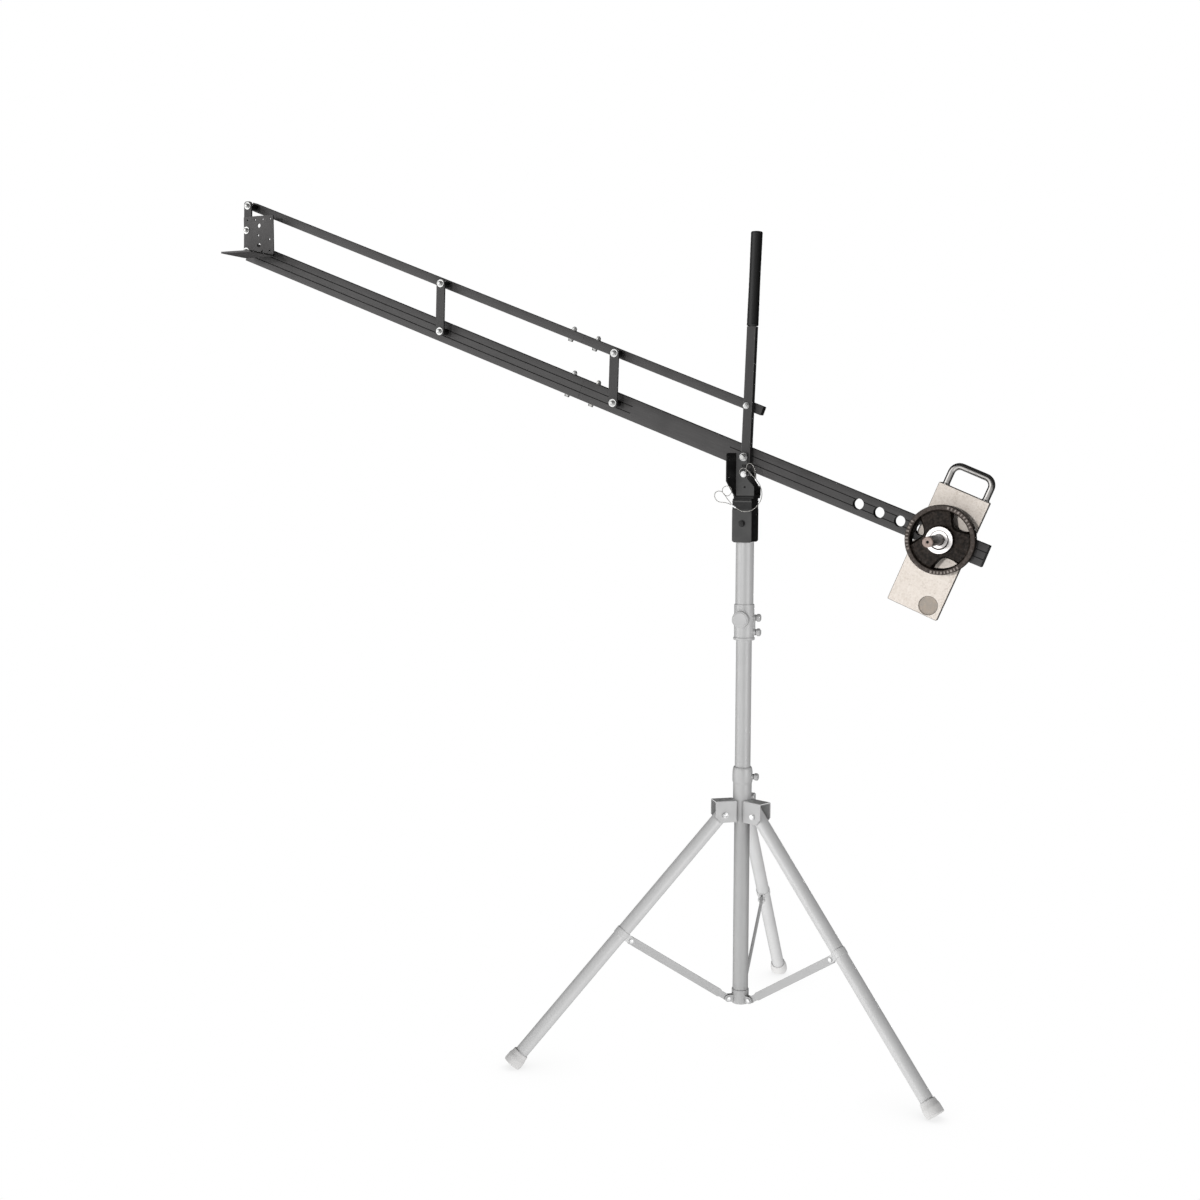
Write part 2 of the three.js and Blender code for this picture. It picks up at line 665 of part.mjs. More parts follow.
// --------------------------------------------------------------------- lever
const lever = group(frame, PIVOT_X, 0, PIVOT_Z, LEAN * DEG);
{
  const h = LEVER_S / 2;
  const y0 = LEVER_Y - h,
    y1 = LEVER_Y + h;
  // the bar stands a little to the rear of its two bolts
  const set = (g) => g.rotateY(0.25 * DEG).translate(3.2, 0, 0);
  const square = cut(
    extZ(shapeOf(roundRect(-h, h, y0, y1, 2, 2)), LEVER_FOOT, GRIP_Z0 - 1.5),
    box(-h + 2, h - 2, y0 + 2, y1 - 2, LEVER_FOOT - 1, GRIP_Z0 - 4),
  );
  put(
    lever,
    "lever",
    cut(
      set(
        join(
          square,
          extZ(shapeOf(roundRect(-h + 1, h - 1, y0 + 1, y1 - 1, 0)), GRIP_Z0 - 8, GRIP_Z0 - 1.5),
          cylZ(11, GRIP_Z0 - 4, GRIP_Z1 - 8, 0, LEVER_Y, 14),
        ),
      ),
      cylY(6.5, y0 - 5, y1 + 5, 0, 0, 10),
      cylY(4.5, y0 - 5, y1 + 5, 0, LINK_H, 8),
    ),
    blackPaint,
  );
  const grip = new THREE.LatheGeometry(
    [
      [0, GRIP_Z1],
      [13, GRIP_Z1],
      [GRIP_R, GRIP_Z1 - 4],
      [GRIP_R, GRIP_Z0 + 3],
      [GRIP_R - 2, GRIP_Z0],
      [0, GRIP_Z0],
    ].reverse().map(([r, z]) => new THREE.Vector2(r, z)),
    24,
  )
    .rotateX(Math.PI / 2)
    .translate(0, LEVER_Y, 0);
  put(lever, "lever_grip", set(cut(grip, cylZ(11.3, GRIP_Z0 - 20, GRIP_Z1 - 7.7, 0, LEVER_Y, 14))), rubber);
  put(
    lever,
    "lever_rod_bolt",
    join(
      cylY(4, -31, BEAM_Y + BEAM_T + 8, 0, LINK_H, 8),
      cylY(9, y0 - 2, y0 - 0.3, 0, LINK_H, 12),
      hexY(13, y0 - 7, y0 - 1.9, 0, LINK_H),
      cylY(9, BEAM_Y + BEAM_T + 0.3, BEAM_Y + BEAM_T + 2, 0, LINK_H, 12),
      hexY(13, BEAM_Y + BEAM_T + 1.9, BEAM_Y + BEAM_T + 7, 0, LINK_H),
    ),
    zinc,
  );
}

// --------------------------------------------------------------------- links
// Bolt of a link pivot with the spacer that holds the link off the beam.
const linkBolt = (outer) =>
  join(
    cylY(4, outer - 10, BEAM_Y + BEAM_T + 9, 0, 0, 6),
    cylY(10, LINK_Y1 + 0.3, BEAM_Y - 0.3, 0, 0, 12),
    cylY(11.5, outer - 2, outer - 0.3, 0, 0, 12),
    hexY(13, outer - 8, outer - 1.9),
    cylY(9, BEAM_Y + BEAM_T + 0.3, BEAM_Y + BEAM_T + 2, 0, 0, 12),
    hexY(13, BEAM_Y + BEAM_T + 1.9, BEAM_Y + BEAM_T + 8),
  );
const linkBar = () =>
  cut(
    extY(shapeOf(roundRect(-LINK_W / 2, LINK_W / 2, -14, LINK_H + 14, 9, 3)), LINK_Y0, LINK_Y1),
    cylY(4.5, -50, -20, 0, 0, 8),
    cylY(4.5, -50, -20, 0, LINK_H, 8),
  );
for (const [key, d] of [["front", D_A], ["rear", D_B]]) {
  const [lx, lz] = lower(d);
  const link = group(frame, lx, 0, lz, LEAN * DEG);
  put(link, key + "_link", linkBar(), blackPaint);
  put(link, key + "_link_bolt_low", linkBolt(LINK_Y0), zinc);
  put(group(link, 0, 0, LINK_H), key + "_link_bolt_top", linkBolt(LINK_Y0), zinc);
}

// --------------------------------------------------------------- camera head
const [headX, headZ] = lower(D_F);
const headLean = group(frame, headX, 0, headZ, LEAN * DEG);
const MID_H = 65; // middle bolt above the lower pivot
put(
  headLean,
  "head_link",
  cut(linkBar(), cylY(4.5, -50, -20, 0, MID_H, 8)),
  blackPaint,
);
put(headLean, "head_bolt_low", linkBolt(BRACKET_Y - BRACKET_T), zinc);
put(group(headLean, 0, 0, LINK_H), "head_bolt_top", linkBolt(LINK_Y0), zinc);
put(
  group(headLean, 0, 0, MID_H),
  "head_bolt_mid",
  join(
    cylY(4, -53, -23, 0, 0, 8),
    cylY(11.5, -45.3, -43.6, 0, 0, 12),
    hexY(13, -51.3, -45.2),
    cylY(9, -31.7, -30, 0, 0, 12),
    hexY(13, -30.1, -24),
  ),
  zinc,
);
{
  const head = group(frame, headX, 0, headZ);
  const yIn = BRACKET_Y,
    yOut = BRACKET_Y - BRACKET_T;
  const upLeg = extY(
    shapeOf(roundRect(BRACKET_FRONT, BRACKET_BACK, BRACKET_LOW, BRACKET_TOP, 3, 2, [0, 0, 1, 1])),
    yOut,
    yIn,
  );
  const flat = extZ(
    shapeOf(roundRect(BRACKET_FRONT, BRACKET_BACK, yOut - BRACKET_REACH, yIn, 4, 2, [1, 1, 0, 0])),
    BRACKET_LOW,
    BRACKET_LOW + BRACKET_T,
  );
  const midX = MID_H * leanX;
  const midZ = MID_H * leanZ;
  const h = (r, x, z, n = 8) => cylY(r, yOut - 3, yIn + 3, x, z, n);
  const holes = [
    h(4.5, 0, 0),
    h(4.5, midX, midZ),
    h(6.5, 49, 77, 12),
    h(6.5, 48, 16, 12),
    ...[6, 35, 64, 92].map((x) => h(2.8, x, 96, 6)),
    ...[31, 60, 88].map((x) => h(3.2, x, -3, 6)),
    h(3.2, 88, 33, 6),
    h(3.2, 46, 47, 6),
  ];
  const v = (r, x, y, n = 6) => cylZ(r, BRACKET_LOW - 3, BRACKET_LOW + BRACKET_T + 3, x, y, n);
  const cx = (BRACKET_FRONT + BRACKET_BACK) / 2;
  const flatHoles = [
    v(5, cx, yOut - 66, 10),
    v(3.3, cx - 30, yOut - 66),
    v(3.3, cx + 30, yOut - 66),
    v(3.3, cx - 30, yOut - 98),
    v(3.3, cx + 30, yOut - 98),
    v(3.3, cx - 30, yOut - 34),
    v(3.3, cx + 30, yOut - 34),
  ];
  put(head, "camera_bracket", cut(join(upLeg, flat), ...holes, ...flatHoles), blackPaint);
}

// ------------------------------------------------------------------- weights
const stack = group(tiltGroup, BAR_AT, 0, BEAM_DROP);
put(
  stack,
  "weight_bar",
  cut(
    new THREE.LatheGeometry(
      [
        [0, BAR_Y0],
        [BAR_R - 2, BAR_Y0],
        [BAR_R, BAR_Y0 + 2],
        [BAR_R, BAR_Y1 - 2],
        [BAR_R - 2, BAR_Y1],
        [0, BAR_Y1],
      ].map(([r, y]) => new THREE.Vector2(r, y)),
      24,
    ),
    new THREE.ConeGeometry(4, 8, 12).translate(0, BAR_Y0 + 3.9, 0),
  ),
  zinc,
);
// the sleeve hangs on the bar by its bore, and the plate on the sleeve
const level = group(stack, 0, 0, 0, -TILT * DEG);
put(
  group(level, 0, 0, -0.9),
  "bar_sleeve",
  cut(cylY(24, -41.3, BEAM_Y - 0.5, 0, 0, 20), cylY(BAR_R + 1.2, -60, 5, 0, 0, 16)),
  zinc,
);
{
  // windows at 41, 161 and 281 degrees, seen from -Y with +X to the right
  const plate = group(level, 0, 0, -2.2);
  const disc = cut(
    cylY(PLATE_R, PLATE_Y0, PLATE_Y1, 0, 0, 36),
    new THREE.CylinderGeometry(PLATE_R - 9, PLATE_R - 13, 12, 36).rotateX(Math.PI).translate(0, PLATE_Y0 + 1, 0),
  );
  const hub = cylY(36, -40.5, PLATE_Y1 - 6, 0, 0, 20);
  const windowShape = (mid) => {
    const pts = [];
    const n = 5,
      half = 27;
    for (let i = 0; i <= n; i++) {
      const a = (mid - half + (2 * half * i) / n) * DEG;
      pts.push([76 * Math.cos(a), 76 * Math.sin(a)]);
    }
    for (let i = n; i >= 0; i--) {
      const a = (mid - half + (2 * half * i) / n) * DEG;
      pts.push([50 * Math.cos(a), 50 * Math.sin(a)]);
    }
    return shapeOf(pts);
  };
  put(
    plate,
    "weight_plate",
    cut(
      join(disc, hub),
      ...[41, 161, 281].map((a) => extY(windowShape(a), -60, 20)),
      cylY(25.6, -60, 20, 0, 0, 20),
    ),
    castIron,
  );
}
{
  const w = SLAB_W / 2;
  const z0 = SLAB_Z0 - BEAM_DROP,
    z1 = SLAB_Z1 - BEAM_DROP;
  let slab = extY(shapeOf(roundRect(-w, w, z0, z1, 3, 1)), SLAB_Y0, SLAB_Y1);
  slab = cut(slab, cylY(BAR_R + 0.4, 20, 60, 0, 0, 16), cylY(25, SLAB_Y0 - 2, SLAB_Y0 + 2, 36, z0 + 29, 16));
  const ym = (SLAB_Y0 + SLAB_Y1) / 2;
  const path = new THREE.CurvePath();
  const left = -55.6,
    right = 58,
    top = z1 + 58.7,
    r = 23;
  const pts = [V(left, ym, z1 - 6), V(left, ym, z1 + 12), V(left, ym, top - r)];
  for (let i = 1; i <= 4; i++) {
    const a = (90 * i * DEG) / 4;
    pts.push(V(left + r - r * Math.cos(a), ym, top - r + r * Math.sin(a)));
  }
  for (let i = 3; i >= 0; i--) {
    const a = (90 * i * DEG) / 4;
    pts.push(V(right - r + r * Math.cos(a), ym, top - r + r * Math.sin(a)));
  }
  pts.push(V(right, ym, z1 + 12), V(right, ym, z1 - 6));
  for (let i = 1; i < pts.length; i++) path.add(new THREE.LineCurve3(pts[i - 1], pts[i]));
  const curve = new THREE.CatmullRomCurve3(pts, false, "centripetal");
  const handle = new THREE.ExtrudeGeometry(shapeOf(ringPts(9.3, 10)), {
    steps: 22,
    bevelEnabled: false,
    extrudePath: curve,
  });
  put(group(stack, 0, 0, 0, 1.5 * DEG), "slab_weight", join(slab, handle), galvanised);
}

// ---------------------------------------------------- lock pin's wire lanyard
{
  const route = [
    [-2.7, -40.1, -47.3],
    [-5.2, -40.9, -44],
    [-4.3, -41.8, -39],
    [-1.3, -42.5, -34],
    [6.3, -43, -30.6],
    [14.9, -43.5, -33],
    [22.7, -44, -40.3],
    [31.5, -45, -49.6],
    [39.9, -46, -57.1],
    [44.5, -46.8, -61.5],
    [50.8, -48, -68.8],
    [58.4, -50, -80.6],
    [62.8, -51.5, -91.3],
    [64.4, -52.5, -104.3],
    [61.1, -53.5, -119.4],
    [52.5, -54.5, -133.5],
    [39.4, -55.5, -144.5],
    [23.9, -56.5, -150.3],
    [8.1, -57, -148.8],
    [-5.3, -58, -142.2],
    [-14.2, -59, -137.1],
    [-29.8, -60.5, -128.6],
    [-43.2, -61.5, -125.9],
    [-54.6, -62, -124.9],
    [-64.3, -62, -119.6],
    [-69.7, -62, -108.8],
    [-67.6, -61.5, -99.4],
    [-58.6, -61, -94.5],
    [-48.4, -60.5, -97],
    [-40.5, -60, -105.2],
    [-34.8, -59.5, -113.9],
    [-27, -58, -123.5],
  ].map(([x, y, z]) => V(x, y, PIVOT_Z + z));
  const curve = new THREE.CatmullRomCurve3(route, false, "centripetal");
  put(
    pan,
    "pin_lanyard",
    new THREE.ExtrudeGeometry(shapeOf(ringPts(1, 8)), { steps: 64, bevelEnabled: false, extrudePath: curve }),
    wire,
  );
}

// Origin: centre of the base rectangle of the whole object's box, at floor level.
frame.updateMatrixWorld(true);
const bounds = new THREE.Box3().setFromObject(frame, true);
frame.position.set(-(bounds.min.x + bounds.max.x) / 2, -(bounds.min.y + bounds.max.y) / 2, -bounds.min.z);
const crane = new THREE.Group();
crane.name = "camera_jib_crane";
crane.add(frame);
export default crane;
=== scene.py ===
import json
import math

import bmesh
import bpy
from mathutils import Matrix, Vector
from mathutils.geometry import tessellate_polygon

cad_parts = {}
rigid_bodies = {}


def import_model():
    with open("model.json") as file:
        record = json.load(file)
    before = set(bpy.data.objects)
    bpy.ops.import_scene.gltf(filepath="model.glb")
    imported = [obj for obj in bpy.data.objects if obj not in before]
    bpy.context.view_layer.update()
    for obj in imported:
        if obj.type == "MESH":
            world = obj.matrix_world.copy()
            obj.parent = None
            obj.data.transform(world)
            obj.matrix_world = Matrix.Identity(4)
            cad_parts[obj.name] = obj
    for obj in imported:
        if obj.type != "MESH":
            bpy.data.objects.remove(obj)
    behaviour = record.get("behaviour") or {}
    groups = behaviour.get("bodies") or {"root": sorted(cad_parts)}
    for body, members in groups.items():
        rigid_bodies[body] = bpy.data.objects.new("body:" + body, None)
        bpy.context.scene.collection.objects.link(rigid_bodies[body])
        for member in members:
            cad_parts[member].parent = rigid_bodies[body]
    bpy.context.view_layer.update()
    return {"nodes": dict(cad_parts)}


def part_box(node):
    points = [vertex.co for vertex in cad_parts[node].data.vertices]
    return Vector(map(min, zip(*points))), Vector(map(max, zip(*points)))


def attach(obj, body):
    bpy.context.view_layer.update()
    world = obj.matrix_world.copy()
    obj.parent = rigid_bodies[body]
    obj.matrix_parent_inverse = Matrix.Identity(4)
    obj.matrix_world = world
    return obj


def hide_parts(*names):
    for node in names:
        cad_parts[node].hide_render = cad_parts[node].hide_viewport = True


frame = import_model()

MM = 0.001
SHIFT = (503.38853937156034, -128.46835502566458, 0.0)  # column frame to part frame
PIVOT_X, PIVOT_Z = 3.0, 1700.0
TILT, LEAN = 21.38, 1.88
LINK_H = 141.4
D_F, D_A, D_B = 1773.0, 1028.0, 421.5
SEAM = 546.0
BEAM_REAR = 708.0
BEAM_H, BEAM_T, BEAM_WALL, BEAM_Y, BEAM_DROP = 61.0, 25.4, 3.0, 1.3, -2.5
BEAM_MID = BEAM_Y + BEAM_T / 2
BAR_AT, BAR_R = 586.8, 14.0
AZIMUTHS = (217.06, 337.06, 97.06)


# --------------------------------------------------------------------- camera
def camera():
    yaw, pitch, roll, f = 0.4115021, 0.0921602, 0.0018656, 1509.076
    fw = Vector((-math.sin(yaw) * math.cos(pitch), math.cos(yaw) * math.cos(pitch), -math.sin(pitch)))
    r = fw.cross(Vector((0, 0, 1))).normalized()
    u = r.cross(fw)
    r2 = math.cos(roll) * r + math.sin(roll) * u
    u2 = -math.sin(roll) * r + math.cos(roll) * u
    data = bpy.data.cameras.new("photo_camera")
    data.sensor_width = 36
    data.lens = f / 1200 * 36
    data.clip_start, data.clip_end = 0.05, 200
    ob = bpy.data.objects.new("photo_camera", data)
    bpy.context.scene.collection.objects.link(ob)
    m = Matrix((r2, u2, -fw)).transposed().to_4x4()
    m.translation = Vector((1.32117 + SHIFT[0] * MM, -4.04466 + SHIFT[1] * MM, 1.68934))
    ob.matrix_world = m
    bpy.context.scene.camera = ob


camera()


# ---------------------------------------------------------------------- frames
def T(x=0, y=0, z=0):
    return Matrix.Translation(Vector((x, y, z)) * MM)


def R(deg, axis):
    return Matrix.Rotation(math.radians(deg), 4, axis)


COL = T(*SHIFT)
BEAM = COL @ T(PIVOT_X, 0, PIVOT_Z) @ R(TILT, "Y")
LEVER = COL @ T(PIVOT_X, 0, PIVOT_Z) @ R(LEAN, "Y")
SL, CL = math.sin(math.radians(LEAN)), math.cos(math.radians(LEAN))
ST, CT = math.sin(math.radians(TILT)), math.cos(math.radians(TILT))
ROD = COL @ T(PIVOT_X + LINK_H * SL, 0, PIVOT_Z + LINK_H * CL) @ R(TILT, "Y")


def low(d):
    return PIVOT_X - d * CT, PIVOT_Z + d * ST


def link_frame(d):
    x, z = low(d)
    return COL @ T(x, 0, z) @ R(LEAN, "Y")


HEAD = COL @ T(low(D_F)[0], 0, low(D_F)[1])
STACK = BEAM @ T(BAR_AT, 0, BEAM_DROP)
LEVEL = STACK @ R(-TILT, "Y")
PLATE = LEVEL @ T(0, 0, -2.2)
SLAB = STACK @ R(1.5, "Y")


def sector(az):
    return COL @ R(az, "Z")


def leg_frame(az):
    return sector(az) @ T(58, 0, 690) @ R(-42, "Y")


def brace_frame(az):
    return sector(az) @ T(38, 0, 148) @ R(90 - 33.46, "Y")


# -------------------------------------------------------------------- shapes
class Form:
    """Closed shells in one mesh, in millimetres of the group that carries them."""

    def __init__(self):
        self.v, self.f, self.m, self.flat = [], [], [], []

    def add(self, verts, faces, mat=0, flat=(), mats=None):
        o, flat = len(self.v), set(flat)
        self.v += [tuple(p) for p in verts]
        for i, face in enumerate(faces):
            self.f.append([o + k for k in face])
            self.m.append(mats[i] if mats else mat)
            self.flat.append(i in flat)
        return self

    def join(self, *others):
        for b in others:
            o = len(self.v)
            self.v += b.v
            self.f += [[o + k for k in face] for face in b.f]
            self.m += b.m
            self.flat += b.flat
        return self

    def moved(self, m):
        """m is a matrix in metres."""
        self.v = [tuple((m @ (Vector(p) * MM)) / MM) for p in self.v]
        return self

    def mirrored(self, axis):
        self.v = [tuple(-c if k == axis else c for k, c in enumerate(p)) for p in self.v]
        return self


def put_axis(u, v, t, axis):
    return {"X": (t, u, v), "Y": (u, t, v), "Z": (u, v, t)}[axis]


def lathe(profile, n=48, axis="Z", at=(0, 0), mat=0, closed=False, mats=None, turn=0.0, wobble=None):
    """profile: (radius, height) points along the axis; closed for a ring."""
    verts, faces, fm, rings = [], [], [], []
    for r, t in profile:
        if r < 1e-6:
            rings.append([len(verts)])
            verts.append(put_axis(at[0], at[1], t, axis))
        else:
            ring = []
            for i in range(n):
                a = 2 * math.pi * (i + turn) / n
                k = 1.0 if wobble is None else wobble(a, r, t)
                ring.append(len(verts))
                verts.append(put_axis(at[0] + r * k * math.cos(a), at[1] + r * k * math.sin(a), t, axis))
            rings.append(ring)
    pairs = list(zip(rings, rings[1:]))
    if closed:
        pairs.append((rings[-1], rings[0]))
    for j, (a, b) in enumerate(pairs):
        m = mats[j] if mats else mat
        if len(a) == 1 and len(b) == 1:
            continue
        for i in range(n):
            k = (i + 1) % n
            if len(a) == 1:
                faces.append([a[0], b[i], b[k]])
            elif len(b) == 1:
                faces.append([a[i], b[0], a[k]])
            else:
                faces.append([a[i], b[i], b[k], a[k]])
            fm.append(m)
    return Form().add(verts, faces, mats=fm)


def rod(r, t0, t1, n=48, axis="Z", at=(0, 0), mat=0, edge=0.5, dome=0.0):
    """A solid round bar with softened ends."""
    e = min(edge, r * 0.45, (t1 - t0) * 0.45)
    p = [(0, t0 - dome), (r * 0.55, t0 - dome * 0.7), (r - e, t0), (r - 0.3 * e, t0 + 0.3 * e), (r, t0 + e)]
    p += [(r, t1 - e), (r - 0.3 * e, t1 - 0.3 * e), (r - e, t1), (r * 0.55, t1 + dome * 0.7), (0, t1 + dome)]
    return lathe(p, n, axis, at, mat)


def pipe(r, bore, t0, t1, n=48, axis="Z", at=(0, 0), mat=0, edge=0.4):
    e = min(edge, (r - bore) * 0.4)
    p = [(bore, t0 + e), (bore + e, t0), (r - e, t0), (r, t0 + e), (r, t1 - e), (r - e, t1), (bore + e, t1), (bore, t1 - e)]
    return lathe(p, n, axis, at, mat, closed=True)


def area2(pts):
    return sum(a[0] * b[1] - b[0] * a[1] for a, b in zip(pts, pts[1:] + pts[:1]))


def inset(pts, d):
    """Each point moved to the left of the way round by d."""
    out, n = [], len(pts)
    for i in range(n):
        a, b, c = Vector(pts[i - 1]), Vector(pts[i]), Vector(pts[(i + 1) % n])
        e1, e2 = (b - a).normalized(), (c - b).normalized()
        n1, n2 = Vector((-e1.y, e1.x)), Vector((-e2.y, e2.x))
        k = max(1 + n1.dot(n2), 0.35)
        q = b + d * (n1 + n2) / k
        out.append((q.x, q.y))
    return out


def prism(outline, t0, t1, axis="Y", holes=(), bevel=0.5, seg=2, mat=0, edge_mat=None, hole_mat=None, ends=(True, True)):
    """An outline with holes, drawn in the plane across the axis, run from t0 to t1 with rounded rims."""
    loops = [list(outline) if area2(outline) > 0 else list(outline)[::-1]]
    for h in holes:
        loops.append(list(h) if area2(h) < 0 else list(h)[::-1])
    steps = [(t0, 0.0)] if not (bevel and ends[0]) else []
    if bevel and ends[0]:
        for k in range(seg + 1):
            a = math.pi / 2 * k / seg
            steps.append((t0 + bevel * (1 - math.cos(a)), bevel * (1 - math.sin(a))))
    if bevel and ends[1]:
        for k in range(seg, -1, -1):
            a = math.pi / 2 * k / seg
            steps.append((t1 - bevel * (1 - math.cos(a)), bevel * (1 - math.sin(a))))
    else:
        steps.append((t1, 0.0))
    edge_mat = mat if edge_mat is None else edge_mat
    hole_mat = mat if hole_mat is None else hole_mat
    verts, faces, fm, flat, caps = [], [], [], [], ([], [])
    for li, loop in enumerate(loops):
        base, n = len(verts), len(loop)
        for t, d in steps:
            verts += [put_axis(x, y, t, axis) for x, y in (inset(loop, d) if d else loop)]
        caps[0].append((base, inset(loop, steps[0][1]) if steps[0][1] else loop))
        caps[1].append((base + (len(steps) - 1) * n, inset(loop, steps[-1][1]) if steps[-1][1] else loop))
        for s in range(len(steps) - 1):
            rim = steps[s][1] != steps[s + 1][1]
            for i in range(n):
                k = (i + 1) % n
                faces.append([base + s * n + i, base + s * n + k, base + (s + 1) * n + k, base + (s + 1) * n + i])
                fm.append(edge_mat if rim else (hole_mat if li else mat))
    for side in caps:
        flat_index = []
        for base, pts in side:
            flat_index += [base + i for i in range(len(pts))]
        tris = tessellate_polygon([[Vector((x, y, 0)) for x, y in pts] for _, pts in side])
        for tri in tris:
            ids = [flat_index[k] for k in tri]
            if len(set(ids)) == 3:
                flat.append(len(faces))
                faces.append(ids)
                fm.append(mat)
    return Form().add(verts, faces, mats=fm, flat=flat)


def ring_pts(r, n=32, cx=0.0, cy=0.0):
    return [(cx + r * math.cos(2 * math.pi * i / n), cy + r * math.sin(2 * math.pi * i / n)) for i in range(n)]


def rrect(x0, x1, y0, y1, r, n=5):
    """Rectangle with round corners; r is one radius, or four from the low left, anticlockwise."""
    rs = [r] * 4 if isinstance(r, (int, float)) else list(r)
    out = []
    for (x, y, sx, sy, a0), q in zip(((x0, y0, 1, 1, 180), (x1, y0, -1, 1, 270), (x1, y1, -1, -1, 0), (x0, y1, 1, -1, 90)), rs):
        if q <= 0:
            out.append((x, y))
            continue
        for i in range(n + 1):
            a = math.radians(a0 + 90 * i / n)
            out.append((x + sx * q + q * math.cos(a), y + sy * q + q * math.sin(a)))
    return out


def rounded(pts, radii, n=4):
    """A polygon with its corners rounded."""
    out, m = [], len(pts)
    for i, (p, r) in enumerate(zip(pts, radii)):
        a, b, c = Vector(pts[i - 1]), Vector(p), Vector(pts[(i + 1) % m])
        if r <= 0:
            out.append(tuple(b))
            continue
        e1, e2 = (a - b).normalized(), (c - b).normalized()
        half = math.acos(max(-1, min(1, e1.dot(e2)))) / 2
        d = min(r / math.tan(half), (a - b).length * 0.49, (c - b).length * 0.49)
        p0, p1 = b + e1 * d, b + e2 * d
        for k in range(n + 1):
            s = k / n
            q = p0 * (1 - s) ** 2 + b * 2 * s * (1 - s) + p1 * s * s
            out.append(tuple(q))
    return out


def sweep(points, r, n=12, mat=0, closed=False, cap=True, radii=None):
    """A round tube along points in millimetres."""
    pts = [Vector(p) for p in points]
    m = len(pts)
    tangents = []
    for i in range(m):
        a = pts[i - 1] if (i or closed) else pts[i]
        b = pts[(i + 1) % m] if (i < m - 1 or closed) else pts[i]
        tangents.append((b - a).normalized())
    up = Vector((0, 0, 1)) if abs(tangents[0].z) < 0.9 else Vector((1, 0, 0))
    u = tangents[0].cross(up).normalized()
    frames = [u]
    for i in range(1, m):
        q = tangents[i - 1].rotation_difference(tangents[i])
        u = (q @ frames[-1]).normalized()
        u = (u - tangents[i] * u.dot(tangents[i])).normalized()
        frames.append(u)
    twist = 0.0
    if closed:
        q = tangents[-1].rotation_difference(tangents[0])
        end = q @ frames[-1]
        twist = math.atan2(tangents[0].dot(end.cross(frames[0])), end.dot(frames[0]))
    verts, faces = [], []
    for i, (p, t, u) in enumerate(zip(pts, tangents, frames)):
        w = t.cross(u)
        rr = radii[i] if radii else r
        for k in range(n):
            a = 2 * math.pi * k / n + twist * i / m
            verts.append(tuple(p + rr * (math.cos(a) * u + math.sin(a) * w)))
    for i in range(m if closed else m - 1):
        j = (i + 1) % m
        for k in range(n):
            l = (k + 1) % n
            faces.append([i * n + k, i * n + l, j * n + l, j * n + k])
    if not closed and cap:
        faces.append([k for k in range(n)][::-1])
        faces.append([(m - 1) * n + k for k in range(n)])
    return Form().add(verts, faces, mat)


def hex_nut(af, t0, t1, axis="Y", at=(0, 0), mat=0, per=6, turn=0.0, both=False):
    """Hexagon with the chamfer that turns its corners down; the chamfered side is at t1."""
    r0 = af / 2 * 0.96
    n = 6 * per
    s = 1 if t1 > t0 else -1

    def ring(f, t_of):
        pts = []
        for i in range(n):
            a = 2 * math.pi * i / n
            rel = (a % (math.pi / 3)) - math.pi / 6
            rad = af / 2 / math.cos(rel)
            rr, tt = f(rad), t_of(rad)
            b = a + math.radians(turn)
            pts.append(put_axis(at[0] + rr * math.cos(b), at[1] + rr * math.sin(b), tt, axis))
        return pts

    drop = lambda rad: (rad - r0) * 0.6
    rings = []
    if both:
        rings += [ring(lambda q: 0.5, lambda q: t0), ring(lambda q: r0, lambda q: t0), ring(lambda q: q, lambda q: t0 + s * drop(q))]
    else:
        rings += [ring(lambda q: 0.5, lambda q: t0), ring(lambda q: q - 0.2, lambda q: t0), ring(lambda q: q, lambda q: t0 + s * 0.2)]
    rings += [ring(lambda q: q, lambda q: t1 - s * drop(q)), ring(lambda q: r0, lambda q: t1), ring(lambda q: 0.5, lambda q: t1)]
    verts, faces = [], []
    for q in rings:
        verts += q
    for j in range(len(rings) - 1):
        for i in range(n):
            k = (i + 1) % n
            faces.append([j * n + i, j * n + k, (j + 1) * n + k, (j + 1) * n + i])
    faces.append(list(range(n)))
    faces.append([(len(rings) - 1) * n + i for i in range(n)])
    return Form().add(verts, faces, mat)


def washer(r, bore, t0, t1, axis="Y", at=(0, 0), mat=0, n=40):
    a, b = min(t0, t1), max(t0, t1)
    return pipe(r, bore, a, b, n, axis, at, mat, edge=0.35)


def lock_nut(af, t0, out, axis="Y", at=(0, 0), mats=(0, 1), turn=0.0, bolt=None, stand=1.5):
    """Nut with an insert collar. It grows from t0 in the direction out (+1 or -1)."""
    h = af * 0.42
    f = hex_nut(af, t0, t0 + out * h, axis, at, mats[0], turn=turn)
    r1 = af / 2 * 0.90
    p = [(r1, 0), (r1, af * 0.13), (r1 - 0.5, af * 0.19), (r1 - 1.4, af * 0.205), (r1 - 1.9, af * 0.16), (r1 - 1.9, 0)]
    p = [(q, t0 + out * (h - 0.6 + z)) for q, z in p]
    f.join(lathe(p, 36, axis, at, mats[0], closed=True))
    bolt = bolt or af * 0.31
    # insert between the collar and the thread
    q = [(bolt - 0.3, t0 + out * (h - 1)), (r1 - 1.5, t0 + out * (h - 1)), (r1 - 1.5, t0 + out * (h + af * 0.10)), (bolt - 0.3, t0 + out * (h + af * 0.10))]
    f.join(lathe(q, 36, axis, at, mats[1], closed=True))
    e = t0 + out * (h + af * 0.19 + stand)
    s = t0 - out * 1
    f.join(rod(bolt, min(s, e), max(s, e), 28, axis, at, mats[0], edge=0.9))
    return f


